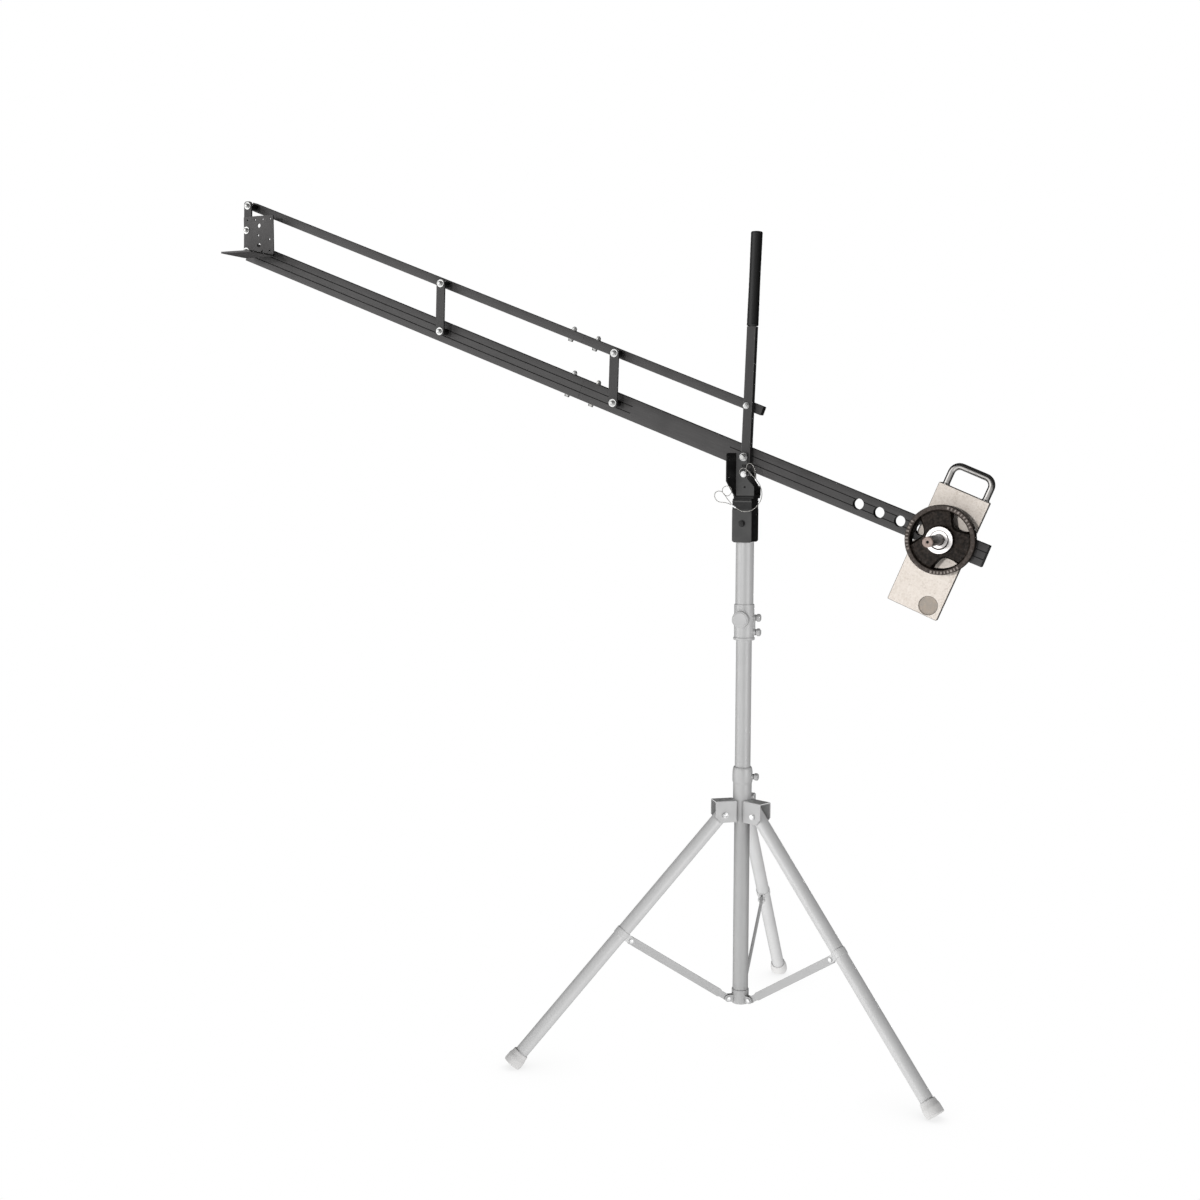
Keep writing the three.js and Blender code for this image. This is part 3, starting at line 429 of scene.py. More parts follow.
def bolt_head(af, t0, out, axis="Y", at=(0, 0), mat=0, turn=0.0):
    h = af * 0.42
    f = hex_nut(af, t0, t0 + out * h, axis, at, mat, turn=turn)
    return f


def thread(r, t0, t1, axis="Y", at=(0, 0), mat=0, pitch=1.25, n=28):
    """A screw thread drawn as close rings."""
    p = [(0, t0), (r - 0.7, t0)]
    count = max(1, int((t1 - t0) / pitch))
    step = (t1 - t0) / count
    for i in range(count):
        p += [(r, t0 + step * (i + 0.35)), (r, t0 + step * (i + 0.5)), (r - 0.55, t0 + step * (i + 0.9))]
    p += [(r - 0.7, t1), (0, t1)]
    return lathe(p, n, axis, at, mat)


def carve(form, *cutters, op="DIFFERENCE"):
    """The form with the cutters taken off, as a new form."""

    def temp(f):
        me = bpy.data.meshes.new("carve")
        me.from_pydata([Vector(p) for p in f.v], [], f.f)
        for p, m in zip(me.polygons, f.m):
            p.material_index = m
        for _ in range(max([0] + f.m) + 1):
            me.materials.append(None)
        bm = bmesh.new()
        bm.from_mesh(me)
        bmesh.ops.recalc_face_normals(bm, faces=bm.faces)
        bm.to_mesh(me)
        bm.free()
        ob = bpy.data.objects.new("carve", me)
        bpy.context.scene.collection.objects.link(ob)
        return ob

    ob = temp(form)
    others = [temp(c) for c in cutters]
    for c in others:
        while len(c.data.materials) > len(ob.data.materials):
            ob.data.materials.append(None)
        mod = ob.modifiers.new("cut", "BOOLEAN")
        mod.operation, mod.object, mod.solver = op, c, "EXACT"
        mod.material_mode = "INDEX"
    dg = bpy.context.evaluated_depsgraph_get()
    dg.update()
    me = bpy.data.meshes.new_from_object(ob.evaluated_get(dg))
    out = Form()
    out.v = [tuple(v.co) for v in me.vertices]
    out.f = [list(p.vertices) for p in me.polygons]
    out.m = [p.material_index for p in me.polygons]
    out.flat = [False] * len(out.f)
    for o in [ob, *others]:
        bpy.data.objects.remove(o)
    return out


def box(x0, x1, y0, y1, z0, z1, bevel=0.0, mat=0, edge_mat=None):
    return prism([(x0, z0), (x1, z0), (x1, z1), (x0, z1)], y0, y1, "Y", bevel=bevel, mat=mat, edge_mat=edge_mat)


def make(name, form, group, mats, body, nodes=(), sharp=38.0, soft_normals=True):
    me = bpy.data.meshes.new(name)
    me.from_pydata([Vector(p) * MM for p in form.v], [], form.f)
    for m in mats:
        me.materials.append(m)
    for p, m, flat in zip(me.polygons, form.m, form.flat):
        p.material_index = m
        p.use_smooth = not flat
    bm = bmesh.new()
    bm.from_mesh(me)
    bmesh.ops.dissolve_degenerate(bm, dist=1e-7, edges=bm.edges)
    bmesh.ops.recalc_face_normals(bm, faces=bm.faces)
    bm.to_mesh(me)
    bm.free()
    me.set_sharp_from_angle(angle=math.radians(sharp))
    me.validate()
    ob = bpy.data.objects.new(name, me)
    bpy.context.scene.collection.objects.link(ob)
    ob.matrix_world = group
    if soft_normals:
        mod = ob.modifiers.new("normals", "WEIGHTED_NORMAL")
        mod.keep_sharp = True
        mod.weight = 80
    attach(ob, body)
    if nodes:
        nodes = [nodes] if isinstance(nodes, str) else list(nodes)
        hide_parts(*nodes)
        lo = Vector((1e9,) * 3)
        hi = -lo
        for n in nodes:
            a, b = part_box(n)
            lo, hi = Vector(map(min, lo, a)), Vector(map(max, hi, b))
    return ob


# ------------------------------------------------------------------ materials
def link(tree, a, b):
    tree.links.new(a, b)


class Shader:
    """A principled material whose colour, roughness and bump come from layered noise in object space."""

    def __init__(self, name, base, rough, metal=0.0, spec=0.5, coat=0.0, coat_rough=0.1):
        self.mat = bpy.data.materials.new(name)
        self.mat.use_nodes = True
        self.tree = self.mat.node_tree
        self.bsdf = self.tree.nodes["Principled BSDF"]
        self.bsdf.inputs["Base Color"].default_value = (*base, 1)
        self.bsdf.inputs["Roughness"].default_value = rough
        self.bsdf.inputs["Metallic"].default_value = metal
        self.bsdf.inputs["Specular IOR Level"].default_value = spec
        if coat:
            self.bsdf.inputs["Coat Weight"].default_value = coat
            self.bsdf.inputs["Coat Roughness"].default_value = coat_rough
        self.coord = self.tree.nodes.new("ShaderNodeTexCoord")
        self.colour = None
        self.normal = None

    def mapping(self, scale=(1, 1, 1), rot=(0, 0, 0)):
        m = self.tree.nodes.new("ShaderNodeMapping")
        m.inputs["Scale"].default_value = scale
        m.inputs["Rotation"].default_value = rot
        link(self.tree, self.coord.outputs["Object"], m.inputs["Vector"])
        return m.outputs["Vector"]

    def noise(self, scale, detail=3.0, rough=0.55, stretch=(1, 1, 1), distortion=0.0):
        n = self.tree.nodes.new("ShaderNodeTexNoise")
        n.inputs["Scale"].default_value = scale
        n.inputs["Detail"].default_value = detail
        n.inputs["Roughness"].default_value = rough
        n.inputs["Distortion"].default_value = distortion
        link(self.tree, self.mapping(stretch), n.inputs["Vector"])
        return n.outputs["Fac"]

    def cells(self, scale, feature="F1", stretch=(1, 1, 1), out="Distance", random=1.0):
        n = self.tree.nodes.new("ShaderNodeTexVoronoi")
        n.feature = feature
        n.inputs["Scale"].default_value = scale
        n.inputs["Randomness"].default_value = random
        link(self.tree, self.mapping(stretch), n.inputs["Vector"])
        return n.outputs[out]

    def curve(self, value, a, b, lo=0.0, hi=1.0):
        n = self.tree.nodes.new("ShaderNodeMapRange")
        n.inputs["From Min"].default_value = a
        n.inputs["From Max"].default_value = b
        n.inputs["To Min"].default_value = lo
        n.inputs["To Max"].default_value = hi
        link(self.tree, value, n.inputs["Value"])
        return n.outputs["Result"]

    def paint(self, value, colour, a=0.4, b=0.7):
        """Where value is high, the colour so far turns to this one."""
        mix = self.tree.nodes.new("ShaderNodeMix")
        mix.data_type = "RGBA"
        link(self.tree, self.curve(value, a, b), mix.inputs["Factor"])
        if self.colour is None:
            mix.inputs[6].default_value = self.bsdf.inputs["Base Color"].default_value[:]
        else:
            link(self.tree, self.colour, mix.inputs[6])
        mix.inputs[7].default_value = (*colour, 1)
        self.colour = mix.outputs[2]
        link(self.tree, self.colour, self.bsdf.inputs["Base Color"])
        return self

    def roughness(self, value, lo, hi, a=0.3, b=0.7):
        link(self.tree, self.curve(value, a, b, lo, hi), self.bsdf.inputs["Roughness"])
        return self

    def bump(self, value, strength, distance):
        b = self.tree.nodes.new("ShaderNodeBump")
        b.inputs["Strength"].default_value = strength
        b.inputs["Distance"].default_value = distance
        link(self.tree, value, b.inputs["Height"])
        if self.normal is not None:
            link(self.tree, self.normal, b.inputs["Normal"])
        self.normal = b.outputs["Normal"]
        link(self.tree, self.normal, self.bsdf.inputs["Normal"])
        return self


def black_coat(name, axis_stretch, base=(0.036, 0.0345, 0.0345), light=(0.048, 0.046, 0.046)):
    s = Shader(name, base, 0.44, 0.0, 0.5)
    s.paint(s.noise(26, 4, 0.6, axis_stretch), light, 0.38, 0.68)
    s.paint(s.noise(9, 2, 0.5), tuple(c * 0.86 for c in base), 0.5, 0.75)
    s.roughness(s.noise(60, 3, 0.6, axis_stretch), 0.40, 0.54)
    s.bump(s.noise(2600, 2, 0.6), 0.35, 0.00005)
    return s.mat


M = {}
M["alu_x"] = black_coat("black_aluminium_x", (1, 40, 40))
# Darker copy of the black coat for the links and the lever: painted shade.
M["alu_z"] = black_coat("black_aluminium_z_painted_shade", (40, 40, 1), (0.027, 0.026, 0.026), (0.036, 0.0345, 0.0345))
M["alu_plate"] = black_coat("black_aluminium_plate", (3, 3, 3), (0.042, 0.040, 0.040), (0.056, 0.053, 0.053))


# Lighter coat for rims and rounded corners: partly wear, partly a painted highlight along the edges.
def edge_wear_and_painted_highlight():
    s = Shader("black_coat_edge_wear_and_painted_highlight", (0.12, 0.118, 0.115), 0.42, 0.15, 0.5)
    s.paint(s.noise(180, 3, 0.6), (0.30, 0.30, 0.29), 0.58, 0.72)
    s.bump(s.noise(900, 2, 0.5), 0.2, 0.00005)
    return s.mat


M["edge"] = edge_wear_and_painted_highlight()


# Near-black coat for the inside of the grooves: painted shade in the recess.
def groove():
    s = Shader("groove_black", (0.008, 0.008, 0.008), 0.7, 0.0, 0.2)
    s.paint(s.noise(300, 2, 0.5), (0.014, 0.013, 0.013), 0.4, 0.7)
    return s.mat


M["groove"] = groove()


# Near-black copy of the powder coat, for faces and parts that lie in shade: painted shade.
def black_steel_painted_shade():
    s = Shader("black_powder_coat_painted_shade", (0.007, 0.007, 0.007), 0.38, 0.0, 0.3)
    s.paint(s.noise(40, 3, 0.6), (0.012, 0.012, 0.012), 0.4, 0.7)
    s.roughness(s.noise(55, 3, 0.6), 0.34, 0.46)
    s.bump(s.noise(700, 2, 0.5), 0.25, 0.00012)
    return s.mat


M["steel"] = black_steel_painted_shade()


# Lighter copy of the same powder coat, for flat faces turned to the light: painted light.
def steel_face():
    s = Shader("black_powder_coat_painted_lit_face", (0.032, 0.032, 0.032), 0.40, 0.0, 0.5)
    s.paint(s.noise(30, 3, 0.6), (0.042, 0.042, 0.041), 0.4, 0.7)
    s.roughness(s.noise(55, 3, 0.6), 0.36, 0.48)
    s.bump(s.noise(700, 2, 0.5), 0.25, 0.00012)
    return s.mat


M["steel_face"] = steel_face()


def zinc():
    s = Shader("bright_zinc", (0.62, 0.62, 0.61), 0.26, 0.9, 0.5)
    s.paint(s.noise(220, 3, 0.6), (0.46, 0.47, 0.48), 0.5, 0.8)
    s.paint(s.noise(90, 2, 0.5), (0.66, 0.63, 0.56), 0.62, 0.85)
    s.roughness(s.noise(400, 3, 0.6), 0.18, 0.36)
    s.bump(s.noise(1800, 2, 0.5), 0.15, 0.00005)
    return s.mat


M["zinc"] = zinc()


def insert():
    s = Shader("nut_insert", (0.02, 0.02, 0.022), 0.5)
    s.paint(s.noise(500, 2, 0.5), (0.03, 0.03, 0.034), 0.4, 0.7)
    return s.mat


M["insert"] = insert()


def grip():
    s = Shader("grip_foam", (0.0055, 0.0055, 0.0055), 0.50, 0.0, 0.5)
    s.paint(s.cells(900), (0.010, 0.010, 0.010), 0.3, 0.8)
    s.bump(s.cells(1400), 0.25, 0.0001)
    s.bump(s.noise(400, 4, 0.7), 0.15, 0.00015)
    return s.mat


M["grip"] = grip()


def plastic():
    s = Shader("black_plastic", (0.010, 0.010, 0.010), 0.5, 0.0, 0.4)
    s.paint(s.noise(120, 3, 0.6), (0.016, 0.016, 0.016), 0.4, 0.7)
    s.bump(s.noise(1500, 2, 0.6), 0.3, 0.00006)
    return s.mat


M["plastic"] = plastic()


def cast(name, base, light, rust, spec=0.25):
    s = Shader(name, base, 0.6, 0.0, spec)
    s.paint(s.noise(160, 5, 0.65), light, 0.42, 0.72)
    s.paint(s.noise(45, 4, 0.6), rust, 0.55, 0.8)
    s.roughness(s.noise(120, 4, 0.6), 0.42, 0.72)
    s.bump(s.noise(420, 5, 0.7), 0.8, 0.0006)
    s.bump(s.cells(700), 0.35, 0.0003)
    return s.mat


M["cast"] = cast("cast_iron", (0.0050, 0.0036, 0.0025), (0.036, 0.027, 0.022), (0.016, 0.010, 0.007), 0.15)
M["cast_rim"] = cast("cast_iron_rim", (0.030, 0.023, 0.019), (0.085, 0.070, 0.062), (0.040, 0.028, 0.021))
M["cast_rib"] = cast("cast_iron_worn", (0.19, 0.165, 0.150), (0.27, 0.24, 0.22), (0.13, 0.10, 0.085))
# Near-black cast for the walls of the hand windows: painted shade in the scoops.
M["cast_dark"] = cast("cast_iron_scoop_painted_shade", (0.004, 0.003, 0.0022), (0.009, 0.0065, 0.005), (0.008, 0.005, 0.004), 0.1)


def turned():
    s = Shader("turned_steel", (0.86, 0.82, 0.81), 0.34, 0.1, 0.5)
    s.paint(s.noise(120, 3, 0.6), (0.78, 0.75, 0.72), 0.45, 0.8)
    s.roughness(s.noise(300, 3, 0.6), 0.22, 0.4)
    s.bump(s.noise(1500, 2, 0.5), 0.2, 0.00005)
    return s.mat


M["turned"] = turned()


def bar_steel():
    s = Shader("bar_steel", (0.060, 0.043, 0.036), 0.36, 0.3, 0.5)
    s.paint(s.noise(70, 4, 0.6, (3, 0.6, 3)), (0.022, 0.015, 0.012), 0.42, 0.66)
    s.roughness(s.noise(150, 3, 0.6), 0.28, 0.5)
    s.bump(s.noise(900, 3, 0.6), 0.3, 0.0001)
    return s.mat


M["bar"] = bar_steel()


def bar_face():
    s = Shader("bar_face", (0.28, 0.215, 0.19), 0.5, 0.1, 0.4)
    s.paint(s.noise(160, 4, 0.6), (0.19, 0.14, 0.12), 0.45, 0.7)
    s.bump(s.noise(700, 3, 0.6), 0.3, 0.0001)
    return s.mat


M["bar_end"] = bar_face()


def galvanised():
    s = Shader("galvanised_steel", (0.61, 0.555, 0.503), 0.62, 0.0, 0.25)
    s.paint(s.noise(34, 5, 0.62), (0.51, 0.455, 0.40), 0.46, 0.72)
    s.paint(s.noise(75, 5, 0.7, distortion=0.6), (0.40, 0.355, 0.31), 0.54, 0.76)
    s.paint(s.cells(160), (0.65, 0.60, 0.55), 0.35, 0.9)
    s.paint(s.noise(420, 3, 0.7), (0.30, 0.26, 0.23), 0.60, 0.78)
    s.roughness(s.cells(90), 0.40, 0.62, 0.1, 0.8)
    s.bump(s.noise(260, 5, 0.7), 0.4, 0.00025)
    s.bump(s.cells(120), 0.15, 0.0002)
    return s.mat


M["galv"] = galvanised()


def galvanised_dark():
    s = Shader("galvanised_recess", (0.31, 0.265, 0.222), 0.6, 0.0, 0.25)
    s.paint(s.noise(90, 5, 0.65), (0.26, 0.235, 0.21), 0.4, 0.7)
    s.paint(s.noise(320, 4, 0.7), (0.40, 0.37, 0.33), 0.55, 0.8)
    s.bump(s.noise(300, 5, 0.7), 0.5, 0.0003)
    return s.mat


M["galv_dark"] = galvanised_dark()


# Darker coat for the slab's rims and side faces: painted shade.
def slab_edge_painted_shade():
    s = Shader("slab_edge_painted_shade", (0.16, 0.145, 0.13), 0.5, 0.3, 0.5)
    s.paint(s.noise(120, 4, 0.6), (0.30, 0.28, 0.25), 0.5, 0.75)
    s.bump(s.noise(300, 4, 0.6), 0.4, 0.0002)
    return s.mat


M["slab_edge_painted_shade"] = slab_edge_painted_shade()


def bright_bar():
    s = Shader("bright_round_bar", (0.50, 0.485, 0.47), 0.24, 1.0, 0.5)
    s.paint(s.noise(120, 4, 0.6), (0.30, 0.285, 0.27), 0.5, 0.8)
    s.roughness(s.noise(60, 2, 0.5), 0.22, 0.27)
    s.bump(s.noise(300, 2, 0.5), 0.05, 0.00004)
    return s.mat


M["handle"] = bright_bar()


def stand_paint(name="stand_grey", k=1.0):
    s = Shader(name, (0.395 * k,) * 3, 0.38, 0.0, 0.5)
    s.paint(s.noise(14, 3, 0.5), (0.375 * k,) * 3, 0.4, 0.75)
    s.paint(s.noise(240, 3, 0.6), (0.415 * k,) * 3, 0.55, 0.8)
    s.roughness(s.noise(50, 3, 0.6), 0.32, 0.44)
    s.bump(s.noise(900, 2, 0.5), 0.2, 0.00008)
    return s.mat


M["stand"] = stand_paint()
# Lighter copy of the stand paint for the legs and their clips: painted light.
M["stand_leg"] = stand_paint("stand_grey_leg", 1.34)


# Lighter copy of the stand paint for the tops of the hub channels: painted light.
def stand_painted_light_top():
    s = Shader("stand_painted_light_top", (0.60, 0.60, 0.60), 0.40, 0.0, 0.5)
    s.paint(s.noise(20, 3, 0.5), (0.56, 0.56, 0.56), 0.4, 0.75)
    s.roughness(s.noise(50, 3, 0.6), 0.34, 0.46)
    s.bump(s.noise(900, 2, 0.5), 0.2, 0.00008)
    return s.mat


M["stand_painted_light_top"] = stand_painted_light_top()


def stand_dark():
    s = Shader("stand_dark", (0.33, 0.33, 0.33), 0.45, 0.0, 0.4)
    s.paint(s.noise(30, 3, 0.5), (0.29, 0.29, 0.29), 0.4, 0.75)
    s.bump(s.noise(900, 2, 0.5), 0.2, 0.00008)
    return s.mat


M["stand_dark"] = stand_dark()


def stand_bolt():
    s = Shader("stand_bolt", (0.72, 0.72, 0.72), 0.32, 0.2, 0.5)
    s.paint(s.noise(160, 3, 0.5), (0.64, 0.64, 0.64), 0.4, 0.75)
    s.bump(s.noise(1500, 2, 0.5), 0.2, 0.00005)
    return s.mat


M["stand_bolt"] = stand_bolt()


def stand_rubber():
    s = Shader("stand_rubber", (0.60, 0.595, 0.59), 0.75, 0.0, 0.3)
    s.paint(s.noise(60, 3, 0.5), (0.56, 0.555, 0.55), 0.4, 0.75)
    s.bump(s.noise(1200, 3, 0.6), 0.4, 0.0001)
    return s.mat


M["foot"] = stand_rubber()


def wire():
    s = Shader("steel_wire", (0.40, 0.39, 0.37), 0.34, 0.8, 0.5)
    w = s.tree.nodes.new("ShaderNodeTexWave")
    w.inputs["Scale"].default_value = 900
    w.inputs["Distortion"].default_value = 1.5
    link(s.tree, s.mapping((1, 1, 1), (0.5, 0.4, 0.7)), w.inputs["Vector"])
    s.paint(w.outputs["Fac"], (0.16, 0.155, 0.145), 0.4, 0.95)
    s.bump(w.outputs["Fac"], 0.5, 0.00015)
    return s.mat


M["wire"] = wire()


def plain_alu():
    s = Shader("mill_aluminium", (0.60, 0.60, 0.60), 0.36, 1.0, 0.5)
    s.paint(s.noise(26, 4, 0.6, (1, 40, 40)), (0.50, 0.50, 0.50), 0.4, 0.7)
    s.bump(s.noise(2000, 2, 0.5), 0.2, 0.00005)
    return s.mat


M["alu_plain"] = plain_alu()


# ---------------------------------------------------------------------- helpers
def tint(form, pick):
    """pick(centre, normal) gives the material of a face, or None to leave it."""
    for i, face in enumerate(form.f):
        pts = [Vector(form.v[k]) for k in face]
        c = sum(pts, Vector()) / len(pts)
        n = (pts[1] - pts[0]).cross(pts[2] - pts[0])
        m = pick(c, n.normalized() if n.length else n)
        if m is not None:
            form.m[i] = m
    return form


def loft(rings, mat=0):
    """Rings of equal count, each a list of 3-D points; closed at both ends."""
    n = len(rings[0])
    verts = [p for ring in rings for p in ring]
    faces = []
    for j in range(len(rings) - 1):
        for i in range(n):
            k = (i + 1) % n
            faces.append([j * n + i, j * n + k, (j + 1) * n + k, (j + 1) * n + i])
    faces.append(list(range(n))[::-1])
    faces.append([(len(rings) - 1) * n + i for i in range(n)])
    return Form().add(verts, faces, mat)


def smooth(points, per=8, closed=False):
    """Centripetal curve through the points."""
    pts = [Vector(p) for p in points]
    if closed:
        ext = [pts[-1], *pts, pts[0], pts[1]]
    else:
        ext = [pts[0] * 2 - pts[1], *pts, pts[-1] * 2 - pts[-2]]
    out = []
    for i in range(1, len(ext) - 2):
        p0, p1, p2, p3 = ext[i - 1 : i + 3]
        t0 = 0.0
        t1 = t0 + max((p1 - p0).length, 1e-6) ** 0.5
        t2 = t1 + max((p2 - p1).length, 1e-6) ** 0.5
        t3 = t2 + max((p3 - p2).length, 1e-6) ** 0.5
        for k in range(per):
            t = t1 + (t2 - t1) * k / per
            a1 = p0 * ((t1 - t) / (t1 - t0)) + p1 * ((t - t0) / (t1 - t0))
            a2 = p1 * ((t2 - t) / (t2 - t1)) + p2 * ((t - t1) / (t2 - t1))
            a3 = p2 * ((t3 - t) / (t3 - t2)) + p3 * ((t - t2) / (t3 - t2))
            b1 = a1 * ((t2 - t) / (t2 - t0)) + a2 * ((t - t0) / (t2 - t0))
            b2 = a2 * ((t3 - t) / (t3 - t1)) + a3 * ((t - t1) / (t3 - t1))
            out.append(b1 * ((t2 - t) / (t2 - t1)) + b2 * ((t - t1) / (t2 - t1)))
    if not closed:
        out.append(pts[-1])
    return out


def arc(cx, cy, r, a0, a1, n):
    return [(cx + r * math.cos(math.radians(a0 + (a1 - a0) * i / n)), cy + r * math.sin(math.radians(a0 + (a1 - a0) * i / n))) for i in range(n + 1)]


# ------------------------------------------------------------------ boom tubes
Z0, Z1 = BEAM_DROP - BEAM_H / 2, BEAM_DROP + BEAM_H / 2
GROOVES = (Z0 + BEAM_H / 3, Z1 - BEAM_H / 3)
BY0, BY1 = BEAM_Y, BEAM_Y + BEAM_T


def beam_outline(near):
    c, w, d, q = 1.3, 1.3, 1.1, 0.3
    pts = arc(BY1 - c, Z0 + c, c, 270, 360, 3)
    for z in GROOVES:
        pts += [(BY1, z - w - q), (BY1 - q, z - w), (BY1 - d, z - w), (BY1 - d, z + w), (BY1 - q, z + w), (BY1, z + w + q)]
    pts += arc(BY1 - c, Z1 - c, c, 0, 90, 3) + arc(BY0 + c, Z1 - c, c, 90, 180, 3)
    if near:
        for z in GROOVES[::-1]:
            pts += [(BY0, z + w + q), (BY0 + q, z + w), (BY0 + d, z + w), (BY0 + d, z - w), (BY0 + q, z - w), (BY0, z - w - q)]
    pts += arc(BY0 + c, Z0 + c, c, 180, 270, 3)
    return pts


# The end rims take the lighter edge coat: wear and a painted highlight.
def beam_section(x0, x1, near):
    w = BEAM_WALL
    inner = rrect(BY0 + w, BY1 - w, Z0 + w, Z1 - w, 0.8, 2)
    return prism(beam_outline(near), x0, x1, "X", holes=[inner], bevel=0.3, seg=1, mat=0, edge_mat=2)


# Groove faces take the near-black groove coat, a painted shade; rounded corner faces take the lighter edge coat, wear
# and a painted highlight.
def beam_tint(c, n):
    for z in GROOVES:
        if abs(c.z - z) < 1.45 and (BY0 + 0.2 < c.y < BY0 + 1.3 or BY1 - 1.3 < c.y < BY1 - 0.2):
            return 1
    if abs(abs(n.y) - 0.7) < 0.3 and abs(abs(n.z) - 0.7) < 0.3 and (c.z > Z1 - 1.4 or c.z < Z0 + 1.4):
        return 2
    return None


def bore_cutter(r, x, z, chamfer=0.8, mat=3, n=48):
    e = chamfer
    p = [(0, BY0 - 5), (r + e, BY0 - 5), (r + e, BY0), (r, BY0 + e), (r, BY1 - e), (r + e, BY1), (r + e, BY1 + 5), (0, BY1 + 5)]
    return lathe(p, n, "Y", (x, z), mat)


BEAM_MATS = [M["alu_x"], M["groove"], M["edge"], M["alu_plate"]]
f = beam_section(-D_F - 27, -SEAM - 0.3, True)
f = carve(f, bore_cutter(4.5, -D_F, 0, 0.2, n=20), bore_cutter(4.5, -D_A, 0, 0.2, n=20))
make("boom_front_section", tint(f, beam_tint), BEAM, BEAM_MATS, "beam", "beam_front", soft_normals=False)

f = beam_section(-SEAM + 0.3, BEAM_REAR, False)
cutters = [bore_cutter(15, d, BEAM_DROP) for d in (342, 403.2, 464.4, 525.6)]
cutters.append(bore_cutter(BAR_R + 0.4, BAR_AT, BEAM_DROP, 0.4))
# The groove cuts give their walls the near-black groove coat: painted shade.
for z in GROOVES:
    for x0, x1 in ((-SEAM - 1, -375), (-57, BEAM_REAR + 1)):
        cutters.append(box(x0, x1, BY0 - 3, BY0 + 1.1, z - 1.3, z + 1.3, mat=1))
f = carve(f, *cutters)
make("boom_rear_section", tint(f, beam_tint), BEAM, BEAM_MATS, "beam", "beam_rear", soft_normals=False)

ob = frame["nodes"]["beam_joiner"]
ob.data.materials.clear()
ob.data.materials.append(M["alu_plain"])

# cap pressed into the rear end, with a raised rim
f = prism(rrect(BY0 + 0.1, BY1 - 0.1, Z0 + 0.1, Z1 - 0.1, 1.8, 4), BEAM_REAR + 0.3, BEAM_REAR + 3.3, "X", bevel=0.9, seg=3)
f.join(prism(rrect(BY0 + 3.4, BY1 - 3.4, Z0 + 3.4, Z1 - 3.4, 1, 2), BEAM_REAR - 14, BEAM_REAR + 1, "X", bevel=0.4))
f.join(prism(rrect(BY0 + 4, BY1 - 4, Z0 + 4, Z1 - 4, 2, 3), BEAM_REAR + 3.2, BEAM_REAR + 3.7, "X", bevel=0.3))
make("boom_end_cap", f, BEAM, [M["plastic"]], "beam", "beam_end_cap")


def standing_bolt(x, lo, hi):
    at = (x, BEAM_MID)
    f = washer(8.5, 4.2, lo - 0.3, lo - 2, "Z", at, 0)
    f.join(washer(8.5, 4.2, hi + 0.3, hi + 2, "Z", at, 0))
    f.join(bolt_head(13, lo - 1.9, -1, "Z", at, 0, turn=18))
    f.join(lock_nut(13, hi + 1.9, 1, "Z", at, (0, 1), turn=41, bolt=3.95, stand=1.6))
    f.join(rod(4, lo - 3, hi + 3, 20, "Z", at, 0))
    return f


HARDWARE = [M["zinc"], M["insert"], M["steel"]]
for i, x in enumerate((-SEAM + 41, -SEAM - 41), 1):
    make("boom_joint_bolt_%d" % i, standing_bolt(x, Z0, Z1), BEAM, HARDWARE, "beam", "beam_bolt_%d" % i)
    make("rod_joint_bolt_%d" % i, standing_bolt(x, -12.7, 12.7), ROD, HARDWARE, "rod", "rod_bolt_%d" % i)


# Rounded corner faces, like the end rims of rod_section, take the lighter edge coat: wear and a painted highlight.
def rod_tint(c, n):
    if abs(abs(n.y) - 0.7) < 0.32 and abs(abs(n.z) - 0.7) < 0.32 and abs(c.z) > 11.3 and not BY0 + 2 < c.y < BY1 - 2:
        return 2
    return None


def rod_section(x0, x1):
    return prism(rrect(BY0, BY1, -12.7, 12.7, 1.6, 4), x0, x1, "X", holes=[rrect(BY0 + 2.5, BY1 - 2.5, -10.2, 10.2, 0.8, 2)], bevel=0.3, seg=1, mat=0, edge_mat=2)


make("rod_front_section", tint(rod_section(-D_F - 14, -SEAM - 0.3), rod_tint), ROD, BEAM_MATS, "rod", "top_rod_front", soft_normals=False)
f = tint(rod_section(-SEAM + 0.3, 39), rod_tint)
f.join(box(-SEAM - 80, -SEAM + 80, BEAM_MID - 9.8, BEAM_MID + 9.8, -9.8, 9.8, 0.5, mat=3))
f.join(prism(rrect(BY0 + 0.4, BY1 - 0.4, -12.3, 12.3, 1.6, 3), 39.0, 40.6, "X", bevel=0.5, mat=4))
f.join(box(24, 39.2, BY0 + 2.8, BY1 - 2.8, -9.9, 9.9, 0.4, mat=4))
make("rod_rear_section", f, ROD, [*BEAM_MATS, M["plastic"]], "rod", "top_rod_rear", soft_normals=False)


# ----------------------------------------------------------------------- links
def link_bolt(outer):
    """Large washer and lock nut on the near side, spacer up to the tube, head on the far side."""
    f = washer(11.5, 4.2, outer - 0.3, outer - 2, "Y", (0, 0), 0, 48)
    f.join(lock_nut(13, outer - 1.95, -1, "Y", (0, 0), (0, 1), turn=12, bolt=4, stand=0.3))
    # The spacer takes the near-black copy of the powder coat: painted shade behind the link.
    f.join(pipe(10, 4.4, -31.7, 1.0, 40, "Y", (0, 0), 2, 0.5))
    f.join(rod(4, outer - 3, 30, 24, "Y", (0, 0), 0))
    f.join(washer(9, 4.2, 27.0, 28.7, "Y", (0, 0), 0))
    f.join(bolt_head(13, 28.65, 1, "Y", (0, 0), 0, turn=20))
    return f


def link_bar(extra=()):
    holes = [ring_pts(4.5, 20), ring_pts(4.5, 20, 0, LINK_H)] + [ring_pts(4.5, 20, 0, z) for z in extra]
    return prism(rrect(-14, 14, -14, LINK_H + 14, 9, 7), -38, -32, "Y", holes=holes, bevel=0.7, seg=3, mat=0, edge_mat=0)


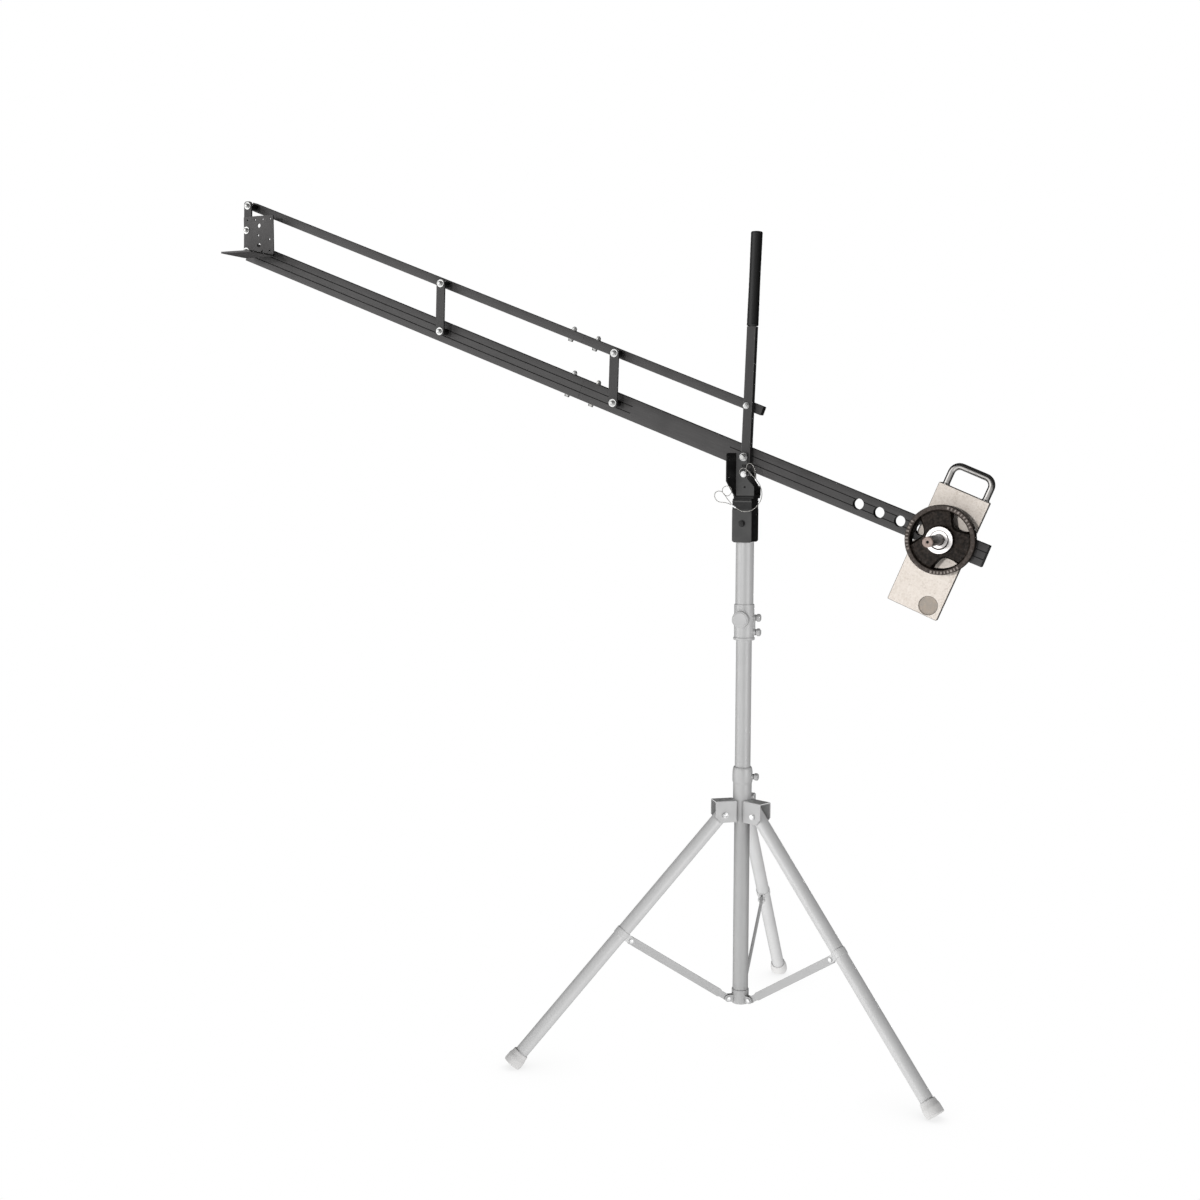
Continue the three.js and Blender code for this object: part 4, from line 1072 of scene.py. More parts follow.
LINK_MATS = [M["alu_z"], M["edge"]]
for key, d in (("front", D_A), ("rear", D_B)):
    g = link_frame(d)
    make("link_" + key, link_bar(), g, LINK_MATS, key + "_link", key + "_link")
    make("link_bolt_low_" + key, link_bolt(-38), g, HARDWARE, "beam", key + "_link_bolt_low")
    make("link_bolt_top_" + key, link_bolt(-38), g @ T(0, 0, LINK_H), HARDWARE, key + "_link", key + "_link_bolt_top")

# ----------------------------------------------------------------- camera head
g = link_frame(D_F)
make("link_head", link_bar([65]), g, LINK_MATS, "head", "head_link")
make("bracket_bolt_low", link_bolt(-43.3), g, HARDWARE, "beam", "head_bolt_low")
make("link_bolt_top_head", link_bolt(-38), g @ T(0, 0, LINK_H), HARDWARE, "head", "head_bolt_top")
f = washer(11.5, 4.2, -43.6, -45.3, "Y", (0, 0), 0, 48)
f.join(lock_nut(13, -45.25, -1, "Y", (0, 0), (0, 1), turn=5, bolt=4, stand=0.3))
f.join(rod(4, -46, -24, 24, "Y", (0, 0), 0))
f.join(washer(9, 4.2, -31.7, -30, "Y", (0, 0), 0))
f.join(bolt_head(13, -30.05, 1, "Y", (0, 0), 0, turn=9))
make("bracket_bolt_middle", f, g @ T(0, 0, 65), HARDWARE, "head", "head_bolt_mid")

mid = (65 * SL, 65 * CL)
holes = [ring_pts(4.5, 20), ring_pts(4.5, 20, *mid), ring_pts(6.5, 28, 49, 77), ring_pts(6.5, 28, 48, 16)]
holes += [ring_pts(2.8, 16, x, 96) for x in (6, 35, 64, 92)]
holes += [ring_pts(3.2, 16, x, -3) for x in (31, 60, 88)] + [ring_pts(3.2, 16, 88, 33), ring_pts(3.2, 16, 46, 47)]
# The plate's rims take the lighter edge coat: wear and a painted highlight.
f = prism(rrect(-8, 103, -18, 107, (0, 0, 3, 3), 4), -43.3, -38.3, "Y", holes=holes, bevel=0.5, seg=2, mat=0, edge_mat=1, hole_mat=0)
cx = 47.5
flat_holes = [ring_pts(5, 24, cx, -109.3)] + [ring_pts(3.3, 16, cx + s * 30, y) for s in (-1, 1) for y in (-77.3, -109.3, -141.3)]
f.join(prism(rrect(-8, 103, -163.3, -40.5, (4, 4, 0, 0), 4), -21, -16, "Z", holes=flat_holes, bevel=0.5, seg=2, mat=0, edge_mat=1))
# outer bend of the plate
bend = [(-46, -21.0)] + arc(-44.3, -15.0, 6.0, -90, 0, 5) + [(-38.3, -12), (-43.3, -12), (-46, -16)]
f.join(prism(bend, -8, 103, "X", bevel=0.3, seg=1, mat=0, edge_mat=1))
make("bracket_plate", f, HEAD, [M["alu_plate"], M["edge"]], "head", "camera_bracket")

# ----------------------------------------------------------------------- lever
LY0, LY1 = -13.1 - 12.7, -13.1 + 12.7
SET = T(3.2, 0, 0) @ R(0.25, "Y")


# Vertical corner faces take the lighter edge coat: wear and a painted highlight.
def lever_tint(c, n):
    if abs(abs(n.y) - 0.7) < 0.32 and abs(abs(n.x) - 0.7) < 0.32 and abs(c.x) > 11:
        return 1
    return None


f = prism(rrect(-12.7, 12.7, LY0, LY1, 2, 4), -16, 358.5, "Z", holes=[rrect(-10.7, 10.7, LY0 + 2, LY1 - 2, 0.8, 2)], bevel=0.4, seg=2, mat=0, edge_mat=0)
f = tint(f, lever_tint)
f.join(box(-11.0, 11.0, LY0 + 1.7, LY1 - 1.7, 350, 358.3, 0.3, mat=2))
f.join(rod(11, 354, 606, 40, "Z", (0, -13.1), 0, 1.0))
f.moved(SET)
make("lever_bar", f, LEVER, [M["alu_z"], M["edge"], M["plastic"]], "lever", "lever")
p = [(11.3, 360.4), (13.8, 360), (15.3, 360.8), (16.2, 362.6)]
count = 36
for i in range(count + 1):
    z = 364 + (610 - 364) * i / count
    p.append((16.2 - 0.25 * (i % 2) - 0.5 * math.sin(math.pi * i / count) ** 2, z))
p += [(16.2, 611.5), (15.6, 613.8), (14.2, 615.4), (11.5, 616), (4, 616), (3.2, 615.4), (0, 615.2)]
f = lathe([(11.3, 607.7)] + p[:-3] + [(0, 615.6), (0, 607.7)], 48, "Z", (0, -13.1), 0, closed=True).moved(SET)
make("grip_sleeve", f, LEVER, [M["grip"]], "lever", "lever_grip")
f = washer(9, 4.2, LY0 - 0.3, LY0 - 2, "Y", (0, LINK_H), 0)
f.join(bolt_head(13, LY0 - 1.95, -1, "Y", (0, LINK_H), 0, turn=8))
f.join(rod(4, LY0 - 8.6, BY1 + 4, 24, "Y", (0, LINK_H), 0, 0.8))
f.join(washer(9, 4.2, BY1 + 0.3, BY1 + 2, "Y", (0, LINK_H), 0))
f.join(bolt_head(13, BY1 + 1.95, 1, "Y", (0, LINK_H), 0, turn=15))
make("lever_top_bolt", f, LEVER, HARDWARE, "lever", "lever_rod_bolt")

# ---------------------------------------------------------------- pan and tilt
PAN = COL @ T(0, 0, PIVOT_Z)
Y_IN, Y_OUT = 27.0, 31.0
PIN = (5.1, -47.7)


def cheek(edge):
    pts = [(-26, -110), (34.5, -110), (34.5, -82), (edge, -60.5), (edge, 8), (edge - 4, 12), (-18, 12), (-20.6, 9), (-20.6, -62), (-26, -98)]
    return rounded(pts, [1.5, 2, 5, 6, 3, 3, 2, 2, 6, 6], 3)


section = [(-Y_OUT, 20), (-Y_IN, 20)] + [(-Y_IN, -104)] + arc(-Y_IN + 1.5, -104.5, 1.5, 180, 270, 3) + arc(Y_IN - 1.5, -104.5, 1.5, 270, 360, 3)
section += [(Y_IN, -104), (Y_IN, 20), (Y_OUT, 20)] + arc(Y_OUT - 5, -105, 5, 0, -90, 5) + arc(-Y_OUT + 5, -105, 5, 270, 180, 5)
shell = prism(section, -40, 50, "X", bevel=0)
side = carve(prism(cheek(14.5), -60, 0.5, "Y", bevel=0, mat=0), prism(cheek(21), -0.5, 60, "Y", bevel=0, mat=0), op="UNION")
yoke = carve(shell, side, op="INTERSECT")
holes = [lathe([(0, -50), (r, -50), (r, 50), (0, 50)], 28, "Y", (x, z), 1) for r, x, z in ((6.5, PIVOT_X, 0), (5.3, *PIN), (2.8, 7.5, -83.5))]
holes.append(prism(rrect(-0.5, 11.5, -29.5, -20.5, 2, 3), -50, 50, "Y", bevel=0, mat=1))
yoke = carve(yoke, *holes)


def flange(sign):
    pts = rounded([(0, -110), (4, -110), (14, -100), (40, -67), (40, 5), (36, 11), (0, 11)], [0, 2, 5, 8, 4, 4, 0], 4)
    hs = [ring_pts(2.0, 14, 29, -9), ring_pts(2.0, 14, 29, -57)]
    g = prism(pts, 0, 4, "X", holes=hs, bevel=0.6, seg=2)
    g.moved(T(-20.6, Y_OUT - 3.4, 0) @ R(24, "Z"))
    return g if sign > 0 else g.mirrored(1)


# The flat outer faces of the cheeks take the lighter lit copy of the powder coat, painted light; the other faces keep
# the near-black copy, painted shade.
def yoke_tint(c, n):
    if abs(n.y) > 0.9 and abs(c.y) > Y_OUT - 0.6:
        return 2
    return None


yoke = tint(yoke, yoke_tint)
yoke.join(flange(1), flange(-1))
yoke.join(prism(rrect(-25.4, 33.9, -30.4, 30.4, 2.5, 4), -115.5, -109.2, "Z", bevel=0.8, seg=2))
make("tilt_yoke", yoke, PAN, [M["steel"], M["plastic"], M["steel_face"]], "pan_head", "yoke", sharp=30)

f = prism(rrect(-29, 29, -29, 29, 4, 5), -121.2, -115.8, "Z", bevel=0.6, seg=2)
f.join(lathe([(0, -118.5), (10, -118.5), (10, -159), (9, -160), (0, -160)], 40, "Z", (0, 0), 0))
make("pan_thrust_pad", f, PAN, [M["steel"]], "pan_head", "pan_spindle")

at = (PIVOT_X, 0)
f = washer(11.5, 6.2, -31.3, -33.2, "Y", at, 0, 48)
f.join(lock_nut(18, -33.15, -1, "Y", at, (0, 1), turn=10, bolt=5.9, stand=0.0))
f.join(washer(11.5, 6.2, 31.3, 33.2, "Y", at, 0, 48))
f.join(bolt_head(18, 33.15, 1, "Y", at, 0, turn=24))
f.join(rod(6, -35, 35, 28, "Y", at, 0))
f.join(pipe(9.5, 6.2, -26.8, -26.1, 36, "Y", at, 2, 0.2))
make("pivot_bolt", f, PAN, HARDWARE, "pan_head", "main_pivot_bolt")

at = PIN
f = lathe([(0, -40.9), (4.5, -40.9), (6.2, -40.2), (6.5, -39.4), (6.5, -38.4), (8.1, -38.4), (8.5, -37.9), (8.5, -32.2), (8.0, -31.5), (5.0, -31.3), (5.0, 36), (4.2, 39.2), (3.2, 40), (0, 40)], 40, "Y", at, 0)
make("locking_pin", f, PAN, [M["stand_bolt"]], "lock_pin", "lock_pin")

h = 30
block = prism(rrect(-h, h, 1462, 1578.5, (9, 9, 1.6, 1.6), 6), -h, h, "Y", bevel=1.2, seg=3)
bar = prism(rrect(-h - 0.01, h + 0.01, -h, h, 4, 6), 1455, 1590, "Z", bevel=0)
bar = carve(bar, block, op="INTERSECT")
inner = prism(rrect(-h + 3, h - 3, -h + 3, h - 3, 1.5, 2), 1450, 1574.5, "Z", bevel=0, mat=1)
f = carve(bar, inner, lathe([(0, 1570), (10.5, 1570), (10.5, 1600), (0, 1600)], 32, "Z", (0, 0), 1))
# shallow band round the top, darker than the face below, under a lighter rim that is wear and a painted highlight
ring = prism(rrect(-h - 3, h + 3, -h - 3, h + 3, 5, 4), 1554, 1574.6, "Z", holes=[rrect(-h + 0.7, h - 0.7, -h + 0.7, h - 0.7, 3.4, 6)], bevel=0, mat=1)
f = carve(f, ring)
# The near face takes the lighter lit copy of the powder coat, painted light; the top rim takes the lighter edge coat,
# wear and a painted highlight.
f = tint(f, lambda c, n: 3 if c.z > 1576.2 and 0.2 < n.z < 0.97 else 2 if c.y < -h + 0.5 and abs(n.y) > 0.9 else None)
make("swivel_socket", f, COL, [M["steel"], M["plastic"], M["steel_face"], M["edge"]], "riser", "pan_socket", sharp=30)
at = (0, 1515)
f = washer(9.5, 4.2, -30.3, -32, "Y", at, 0)
f.join(hex_nut(13, -31.95, -36.6, "Y", at, 0, turn=20))
f.join(lathe([(0, -36.4), (3.2, -36.4), (3.6, -36.8), (3.4, -37.0), (0, -37.0)], 24, "Y", at, 0))
f.join(rod(4, -33, -23.5, 20, "Y", at, 0))
make("socket_screw", f, COL, [M["plastic"]], "riser", "socket_bolt")

# ----------------------------------------------------------------------- stand
SM = [M["stand"], M["stand_painted_light_top"], M["stand_dark"], M["stand_bolt"]]
f = pipe(22.225, 20, 137.5, 1500, 64, "Z", (0, 0), 0, 0.5)
make("inner_column", f, COL, SM, "root", "column_tube")
f = lathe([(10.5, 1532), (22, 1532), (23, 1531), (23, 1196.9), (23.5, 1196.4), (24.9, 1196.3), (25.4, 1196.9), (25.4, 1573.1), (24.5, 1574), (10.5, 1574)], 72, "Z", (0, 0), 0, closed=True)
make("outer_column", f, COL, SM, "riser", "upper_tube")

# clamp collar: sleeve, bulge with a wide round boss, two screw bosses, flared rim
n = 72
sleeve = lathe([(25.8, 1287), (27.9, 1287), (28.5, 1285.8), (28.5, 1262), (28.9, 1252), (28.9, 1240), (28.5, 1230), (28.2, 1200), (28.2, 1194.5), (30.0, 1193), (30.6, 1190.6), (30.0, 1187.4), (28.4, 1186), (22.6, 1186), (22.6, 1195.9), (25.8, 1196.1)], n, "Z", (0, 0), 0, closed=True)
at = (-1, 1246)
boss = lathe([(0, -38.9), (17.5, -38.9), (19.6, -38.2), (20.2, -37.2), (22.6, -37.0), (23.6, -36.3), (24, -35.2), (24, -8), (0, -8)], 64, "Y", at, 0)
bore = lathe([(0, 1150), (25.8, 1150), (25.8, 1300), (0, 1300)], n, "Z", (0, 0), 0)
boss = carve(boss, bore)
f = sleeve.join(boss)
for z in (1250, 1209):
    b = lathe([(3.6, 20), (9, 20), (9, 34.8), (8.2, 36), (3.6, 36)], 36, "X", (0, z), 0, closed=True)
    f.join(carve(b, bore))
# stiffening rib between the screw bosses
f.join(carve(prism(rounded([(24, 1206), (32.5, 1209), (32.5, 1250), (24, 1262)], [0, 3, 3, 0], 3), -3, 3, "Y", bevel=0.8), bore))
make("clamp_collar", f, COL, SM, "riser", "upper_collar", sharp=32)


def hand_knob(x0, r, z, x1):
    """Fluted knob on a screw, along X."""
    n = 72

    def flute(a, rr, t):
        return 1 - 0.055 * (0.5 + 0.5 * math.cos(6 * a)) if rr > r * 0.62 else 1

    p = [(0, x0 - 9.8), (3.0, x0 - 9.8), (3.1, x0 - 9.2), (3.1, x0), (6.0, x0), (r - 3, x0 + 0.6), (r - 0.9, x0 + 1.6), (r, x0 + 3.2), (r, x1 - 3.0), (r - 1.0, x1 - 1.2), (r - 3, x1 - 0.2), (r * 0.45, x1), (0, x1 - 0.3)]
    return lathe(p, n, "X", (0, z), 0, wobble=flute)


for i, z in enumerate((1250, 1209), 1):
    make("clamp_knob_%d" % i, hand_knob(36.6, 11, z, 48.5), COL, [M["stand"]], "collar_knob_%d" % i, "collar_knob_%d" % i)
make("hub_clamp_knob", hand_knob(34.6, 10.5, 796, 47), COL, [M["stand"]], "hub_knob", "hub_knob")

# hub: barrel with a shoulder, screw boss and three channels
f = lathe([(22.65, 664), (26, 664), (26.5, 664.6), (26.5, 772), (26.9, 777), (28.3, 781), (28.5, 783), (28.5, 808), (27.6, 816), (26.2, 821), (24.6, 823), (22.65, 823)], 72, "Z", (0, 0), 0, closed=True)
f.join(carve(lathe([(3.6, 20), (8, 20), (8, 33), (7.2, 34), (3.6, 34)], 32, "X", (0, 796), 0, closed=True), lathe([(0, 700), (22.7, 700), (22.7, 900), (0, 900)], 72, "Z", (0, 0), 0)))
for az in AZIMUTHS:
    u = [(-23.2, 668), (-19.7, 668), (-19.7, 724.6)] + arc(-17.9, 724.6, 1.8, 180, 90, 3)[1:] + arc(17.9, 724.6, 1.8, 90, 0, 3) + [(19.7, 668), (23.2, 668)]
    u += arc(18.9, 725.7, 4.3, 0, 90, 5) + arc(-18.9, 725.7, 4.3, 90, 180, 5)
    ch = prism(u, 24, 86, "X", bevel=0.4, seg=1, mat=0)
    cut = prism([(66, 660), (100, 660), (100, 704)], -30, 30, "Y", bevel=0, mat=0)
    ch = carve(ch, cut, lathe([(0, -40), (4.4, -40), (4.4, 40), (0, 40)], 20, "Y", (58, 690), 0))
    # The tops of the channels take the lighter copy of the stand paint: painted light.
    ch = tint(ch, lambda c, n: 1 if c.z > 727.5 else None)
    f.join(ch.moved(R(az, "Z")))
make("leg_hub_body", f, COL, SM, "hub", "leg_hub", sharp=32)

f = lathe([(22.55, 133), (23.8, 133), (24.5, 133.8), (24.5, 172.6), (23.6, 174), (22.55, 174)], 64, "Z", (0, 0), 0, closed=True)
f.join(lathe([(0, 133.4), (22.4, 133.4), (22.4, 137), (0, 137)], 48, "Z", (0, 0), 2))
for az in AZIMUTHS:
    lugs = Form()
    for s in (-1, 1):
        a = min(s * 3.6, s * 7.4)
        out = [(20, 138)] + arc(38, 148, 10, -90, 90, 10) + [(20, 158)]
        lugs.join(carve(prism(out, a, a + 3.8, "Y", bevel=0.5, seg=2), lathe([(0, 120), (22.6, 120), (22.6, 180), (0, 180)], 48, "Z", (0, 0), 0)))
        lugs.join(bolt_head(10, s * 7.35, s, "Y", (38, 148), 3, turn=15))
    f.join(lugs.moved(R(az, "Z")))
make("column_foot", f, COL, SM, "root", "base_block", sharp=32)

for i, az in enumerate(AZIMUTHS, 1):
    g = sector(az)
    f = washer(8, 4.2, -23.5, -25.2, "Y", (58, 690), 3)
    f.join(washer(8, 4.2, 23.5, 25.2, "Y", (58, 690), 3))
    f.join(rod(4, -26, 26, 24, "Y", (58, 690), 3))
    f.join(hex_nut(13, -25.15, -29.4, "Y", (58, 690), 3, turn=11))
    f.join(lock_nut(13, 25.15, 1, "Y", (58, 690), (3, 2), turn=34, bolt=3.9, stand=-2.0))
    make("leg_pivot_bolt_%d" % i, f, g, SM, "hub", "hub_bolt_%d" % i)
    lg = leg_frame(az)
    f = pipe(19, 17, -885, 16, 64, "Z", (0, 0), 0, 0.5)
    f = carve(f, lathe([(0, -30), (4.4, -30), (4.4, 30), (0, 30)], 20, "Y", (0, 0), 0))
    make("leg_%d" % i, f, lg, [M["stand_leg"]], "leg_%d" % i, "leg_tube_%d" % i)
    # clip: band round the leg, rolled into two ears
    band = lathe([(19.3, -451), (20.4, -451), (20.9, -450.4), (20.9, -431.6), (20.4, -431), (19.3, -431)], 64, "Z", (0, 0), 0, closed=True)
    cut = lathe([(0, -480), (19.35, -480), (19.35, -400), (0, -400)], 64, "Z", (0, 0), 0)
    f = Form().join(band)
    for a, b in ((-6.6, -3.1), (3.1, 6.6)):
        out = [(-14, -453)] + arc(-34, -441, 9, 270, 90, 9) + [(-14, -429)]
        f.join(carve(prism(out[:1] + out[1:], a, b, "Y", bevel=0.5, seg=2), cut))
    f.join(rod(3, -8, 8, 20, "Y", (-34, -441), 3))
    f.join(bolt_head(10, -6.5, -1, "Y", (-34, -441), 3, turn=8))
    f.join(bolt_head(10, 6.5, 1, "Y", (-34, -441), 3, turn=25))
    make("leg_clip_band_%d" % i, f, lg, [M["stand_leg"], *SM[1:]], "leg_%d" % i, "leg_clip_%d" % i, sharp=32)
    # foot: boot of rubber whose sole lies flat on the floor
    boot = lathe([
        (19.3, -873.4), (21.6, -873), (22.6, -874.2), (22.9, -877), (23.6, -883), (25.0, -888.5), (25.9, -892), (26, -895), (26, -911.5), (25.2, -914), (23, -915), (0, -915), (0, -885.6), (19.3, -885.6),
    ], 72, "Z", (0, 0), 0, closed=True)
    boot.moved(T(58, 0, 690) @ R(-42, "Y"))
    boot = carve(boot, box(500, 800, -60, 60, -90, 0, mat=0))
    make("rubber_foot_%d" % i, boot, g, [M["foot"]], "leg_%d" % i, "foot_%d" % i)
    bf = brace_frame(az)
    holes = [ring_pts(3.4, 16), ring_pts(3.4, 16, 0, 347.4)]
    strip = [(9 * math.cos(t), 9 * math.sin(t)) for t in (math.pi * (1 + k / 16) for k in range(17))]
    strip += [(9, 26.4), (10.4, 28.6), (11.2, 31), (11.5, 33.4)]
    strip += [(11.5 * math.cos(t), 347.4 + 11.5 * math.sin(t)) for t in (math.pi * k / 16 for k in range(17))]
    strip += [(-11.5, 33.4), (-11.2, 31), (-10.4, 28.6), (-9, 26.4)]
    f = prism(strip, -2.5, 2.5, "Y", holes=holes, bevel=0.6, seg=2)
    make("brace_bar_%d" % i, f, bf, SM, "brace_%d" % i, "brace_%d" % i)

# --------------------------------------------------------------------- weights
f = lathe([(0, -180.2), (3.4, -187.0), (4.0, -188.0), (12.0, -188.0), (14, -186.0), (14, 68), (12, 70), (0, 70)], 56, "Y", (0, 0), 0, mats=[2, 2, 1, 1, 0, 0, 0])
make("weight_post", f, STACK, [M["bar"], M["bar_end"], M["plastic"]], "beam", "weight_bar")
# The sleeve's front face is turned steel; its outer chamfer and outer wall take the dark bar steel: painted shade in
# the gap round the hub.
f = lathe([(15.2, -40.6), (15.9, -41.3), (23.3, -41.3), (24, -40.6), (24, 0), (23.4, 0.7), (15.2, 0.7)], 64, "Y", (0, 0), 0, closed=True, mats=[0, 0, 1, 1, 1, 1, 1])
make("adapter_sleeve", f, LEVEL @ T(0, 0, -0.9), [M["turned"], M["bar"]], "beam", "bar_sleeve")

# cast plate: raised rim, sunk web, machined hub, three scooped hand windows
P0, P1 = -33.0, 0.8
body = [
    (26.4, P0 - 7.5), (35.0, P0 - 7.5), (36, P0 - 6.5), (36.4, P0 + 5), (38.5, P0 + 8.6), (42, P0 + 10.4), (70, P0 + 11.2), (76.5, P0 + 10.0), (79.0, P0 + 7.6),
    (80.2, P0 + 2.6), (81.6, P0 + 0.6), (83.4, P0), (90, P0), (92, P0 + 0.9), (93, P0 + 2.8), (93, P1 - 2.8), (92, P1 - 0.9), (90, P1), (60, P1), (55, P1 - 3.5), (40, P1 - 5.6), (25.6, P1 - 6), (25.6, P0 - 6.7),
]
mats = [2, 2] + [0] * 6 + [0, 1, 1, 1, 1, 1] + [0] * 7 + [0, 2]
plate = lathe(body, 120, "Y", (0, 0), 0, closed=True, mats=mats)


def lens(mid, grow=0.0):
    """A hand window: the rim's curve outside, a flatter one inside."""
    pts = []
    a0 = math.radians(24 + grow * 1.8)
    for i in range(17):
        a = -a0 + 2 * a0 * i / 16
        pts.append(((76.5 + grow) * math.cos(a), (76.5 + grow) * math.sin(a)))
    for i in range(1, 16):
        a = a0 - 2 * a0 * i / 16
        k = 1 - (i / 8 - 1) ** 2
        r = (76.5 + grow) + (49 - grow * 1.4 - (76.5 + grow)) * (k ** 0.72)
        pts.append((r * math.cos(a), r * math.sin(a)))
    m = math.radians(mid)
    return [(x * math.cos(m) - y * math.sin(m), x * math.sin(m) + y * math.cos(m)) for x, y in pts]


# The window cutters give the scoop walls the darkest cast: painted shade.
cutters = []
for mid in (41, 161, 281):
    rings = []
    for t, gr in ((-40, 3.8), (P0 + 9.5, 3.8), (P0 + 12, 3.2), (P0 + 17, 0.9), (P0 + 21, 0.0), (P1 - 6, 0.0), (P1 - 1.5, 0.8), (P1 + 3, 3.0)):
        rings.append([(x, t, z) for x, z in lens(mid, gr)])
    cutters.append(loft(rings, 3))
plate = carve(plate, *cutters)
# short plain ribs round the rim in place of raised marks
for start, end, count in ((76, 24, 9), (196, 146, 9), (-104, -56, 9)):
    for i in range(count):
        a = math.radians(start + (end - start) * i / (count - 1))
        w = (2.6, 1.7, 2.2)[i % 3]
        b = prism([(83.6, -w), (90.4, -w), (90.4, w), (83.6, w)], P0 - 1.3, P0 + 0.6, "Y", bevel=0.5, seg=2, mat=4)
        c, s = math.cos(a), math.sin(a)
        b.v = [(x * c - z * s, y, x * s + z * c) for x, y, z in b.v]
        plate.join(b)
make("cast_plate", plate, PLATE, [M["cast"], M["cast_rim"], M["turned"], M["cast_dark"], M["cast_rib"]], "weight_plate", "weight_plate", sharp=32)

S0, S1 = -212.5, 133.5
slab = prism(rrect(-73, 73, S0, S1, 3, 4), 28, 48, "Y", holes=[ring_pts(14.4, 40)], bevel=1.5, seg=2, mat=0, edge_mat=1)
scoop = lathe([(0, 20), (25.4, 20), (25.4, 28), (25, 28.6), (25, 30), (0, 30)], 56, "Y", (36, S0 + 29), 2)
slab = carve(slab, scoop)
# The ring round the recess, the rims and the side faces take the darker edge coat: painted shade.
slab.join(pipe(26.5, 25.2, 27.75, 29.5, 64, "Y", (36, S0 + 29), 1, 0.1))
slab = tint(slab, lambda c, n: 1 if (abs(c.x) > 72.5 or c.z < S0 + 0.5 or c.z > S1 - 0.5) and 28.8 < c.y < 47.2 else None)
top, r, xl, xr = S1 + 58.7, 23.0, -55.6, 58.0
pts = [(xl, 38, S1 - 4), (xl, 38, S1 + 12), (xl, 38, top - r)]
pts += [(xl + r - r * math.cos(a), 38, top - r + r * math.sin(a)) for a in (math.pi / 16 * k for k in range(1, 9))]
pts += [(xr - r + r * math.sin(a), 38, top - r + r * math.cos(a)) for a in (math.pi / 16 * k for k in range(0, 8))]
pts += [(xr, 38, top - r), (xr, 38, S1 + 12), (xr, 38, S1 - 4)]
slab.join(sweep(pts, 9.3, 32, 3))
for x in (xl, xr):
    # weld bead at each foot of the handle
    bead = lathe([(8.9, S1 - 1.5), (9.8, S1 - 0.2), (10.3, S1 + 1.0), (10.0, S1 + 2.6), (9.5, S1 + 3.8), (8.9, S1 + 3.8)], 40, "Z", (x, 38), 3, closed=True, wobble=lambda a, r, t: 1 + (0.035 * math.sin(9 * a + 1.0) + 0.03 * math.sin(5 * a + t)) * (r > 9.4))
    slab.join(bead)
make("slab_plate", slab, SLAB, [M["galv"], M["slab_edge_painted_shade"], M["galv_dark"], M["handle"]], "slab_weight", "slab_weight", sharp=32)

# ------------------------------------------------------ lanyard of the lock pin
route = [
    (-2.7, -40.1, -47.3), (-5.2, -40.9, -44), (-4.3, -41.8, -39), (-1.3, -42.5, -34), (6.3, -43, -30.6), (14.9, -43.5, -33),
    (22.7, -44, -40.3), (31.5, -45, -49.6), (39.9, -46, -57.1), (44.5, -46.8, -61.5), (50.8, -48, -68.8), (58.4, -50, -80.6),
    (62.8, -51.5, -91.3), (64.4, -52.5, -104.3), (61.1, -53.5, -119.4), (52.5, -54.5, -133.5), (39.4, -55.5, -144.5), (23.9, -56.5, -150.3),
    (8.1, -57, -148.8), (-5.3, -58, -142.2), (-14.2, -59, -137.1), (-29.8, -60.5, -128.6), (-43.2, -61.5, -125.9), (-54.6, -62, -124.9),
    (-64.3, -62, -119.6), (-69.7, -62, -108.8), (-67.6, -61.5, -99.4), (-58.6, -61, -94.5), (-48.4, -60.5, -97), (-40.5, -60, -105.2),
    (-34.8, -59.5, -113.9), (-27, -58, -123.5),
]
line = smooth(route, 6)
cord = make("lanyard_wire", sweep(line, 1.0, 12), PAN, [M["wire"]], "pan_head", "pin_lanyard", soft_normals=False)


def wire_piece(name, points, closed=False, r=1.0, per=6):
    return make(name, sweep(smooth(points, per, closed), r, 10, closed=closed), PAN, [M["wire"]], "pan_head", soft_normals=False)


def ferrule(name, a, b, r=2.3):
    a, b = Vector(a), Vector(b)
    w = (b - a).normalized()
    path = [a, a + w * 0.8, a + w * 2.0, (a + b) / 2, b - w * 2.0, b - w * 0.8, b]
    rad = [r * 0.75, r, r * 0.96, r * 1.04, r * 0.96, r, r * 0.75]
    return make(name, sweep(path, r, 20, radii=rad), PAN, [M["stand_bolt"]], "pan_head")


eye = wire_piece("lanyard_eye", [
    (43.9, -47.8, -60.3), (42.7, -46.8, -46.3), (39.8, -46, -32.2), (34.3, -45.5, -22.1), (27.3, -45, -17.6), (20.8, -44.2, -18.9), (16.3, -43.2, -25.8), (14.2, -41.8, -36.7), (12.2, -40.1, -45.5), (10.4, -39.9, -47.2),
])
back = wire_piece("lanyard_loop_end", [(-27, -58, -123.5), (-22.5, -58.4, -129.4), (-17.5, -59.2, -134.2)])
top_ferrule = ferrule("lanyard_ferrule_top", (43.4, -47.4, -60.2), (57.6, -50.4, -79.5))
low_ferrule = ferrule("lanyard_ferrule_low", (-8.3, -58.6, -140.6), (-22.4, -59.6, -131.6))
ring = wire_piece("split_ring", [(-34.6 + 13.6 * math.cos(a), -59 + 2.2 * math.sin(2 * a), -94.2 + 13.6 * math.sin(a)) for a in (math.pi * 2 * k / 16 for k in range(16))], True, 0.9, 4)

# ----------------------------------------------------------------- light, floor
scene = bpy.context.scene
scene.view_settings.view_transform = "Standard"
scene.view_settings.look = "None"
scene.view_settings.exposure = 0
scene.view_settings.gamma = 1


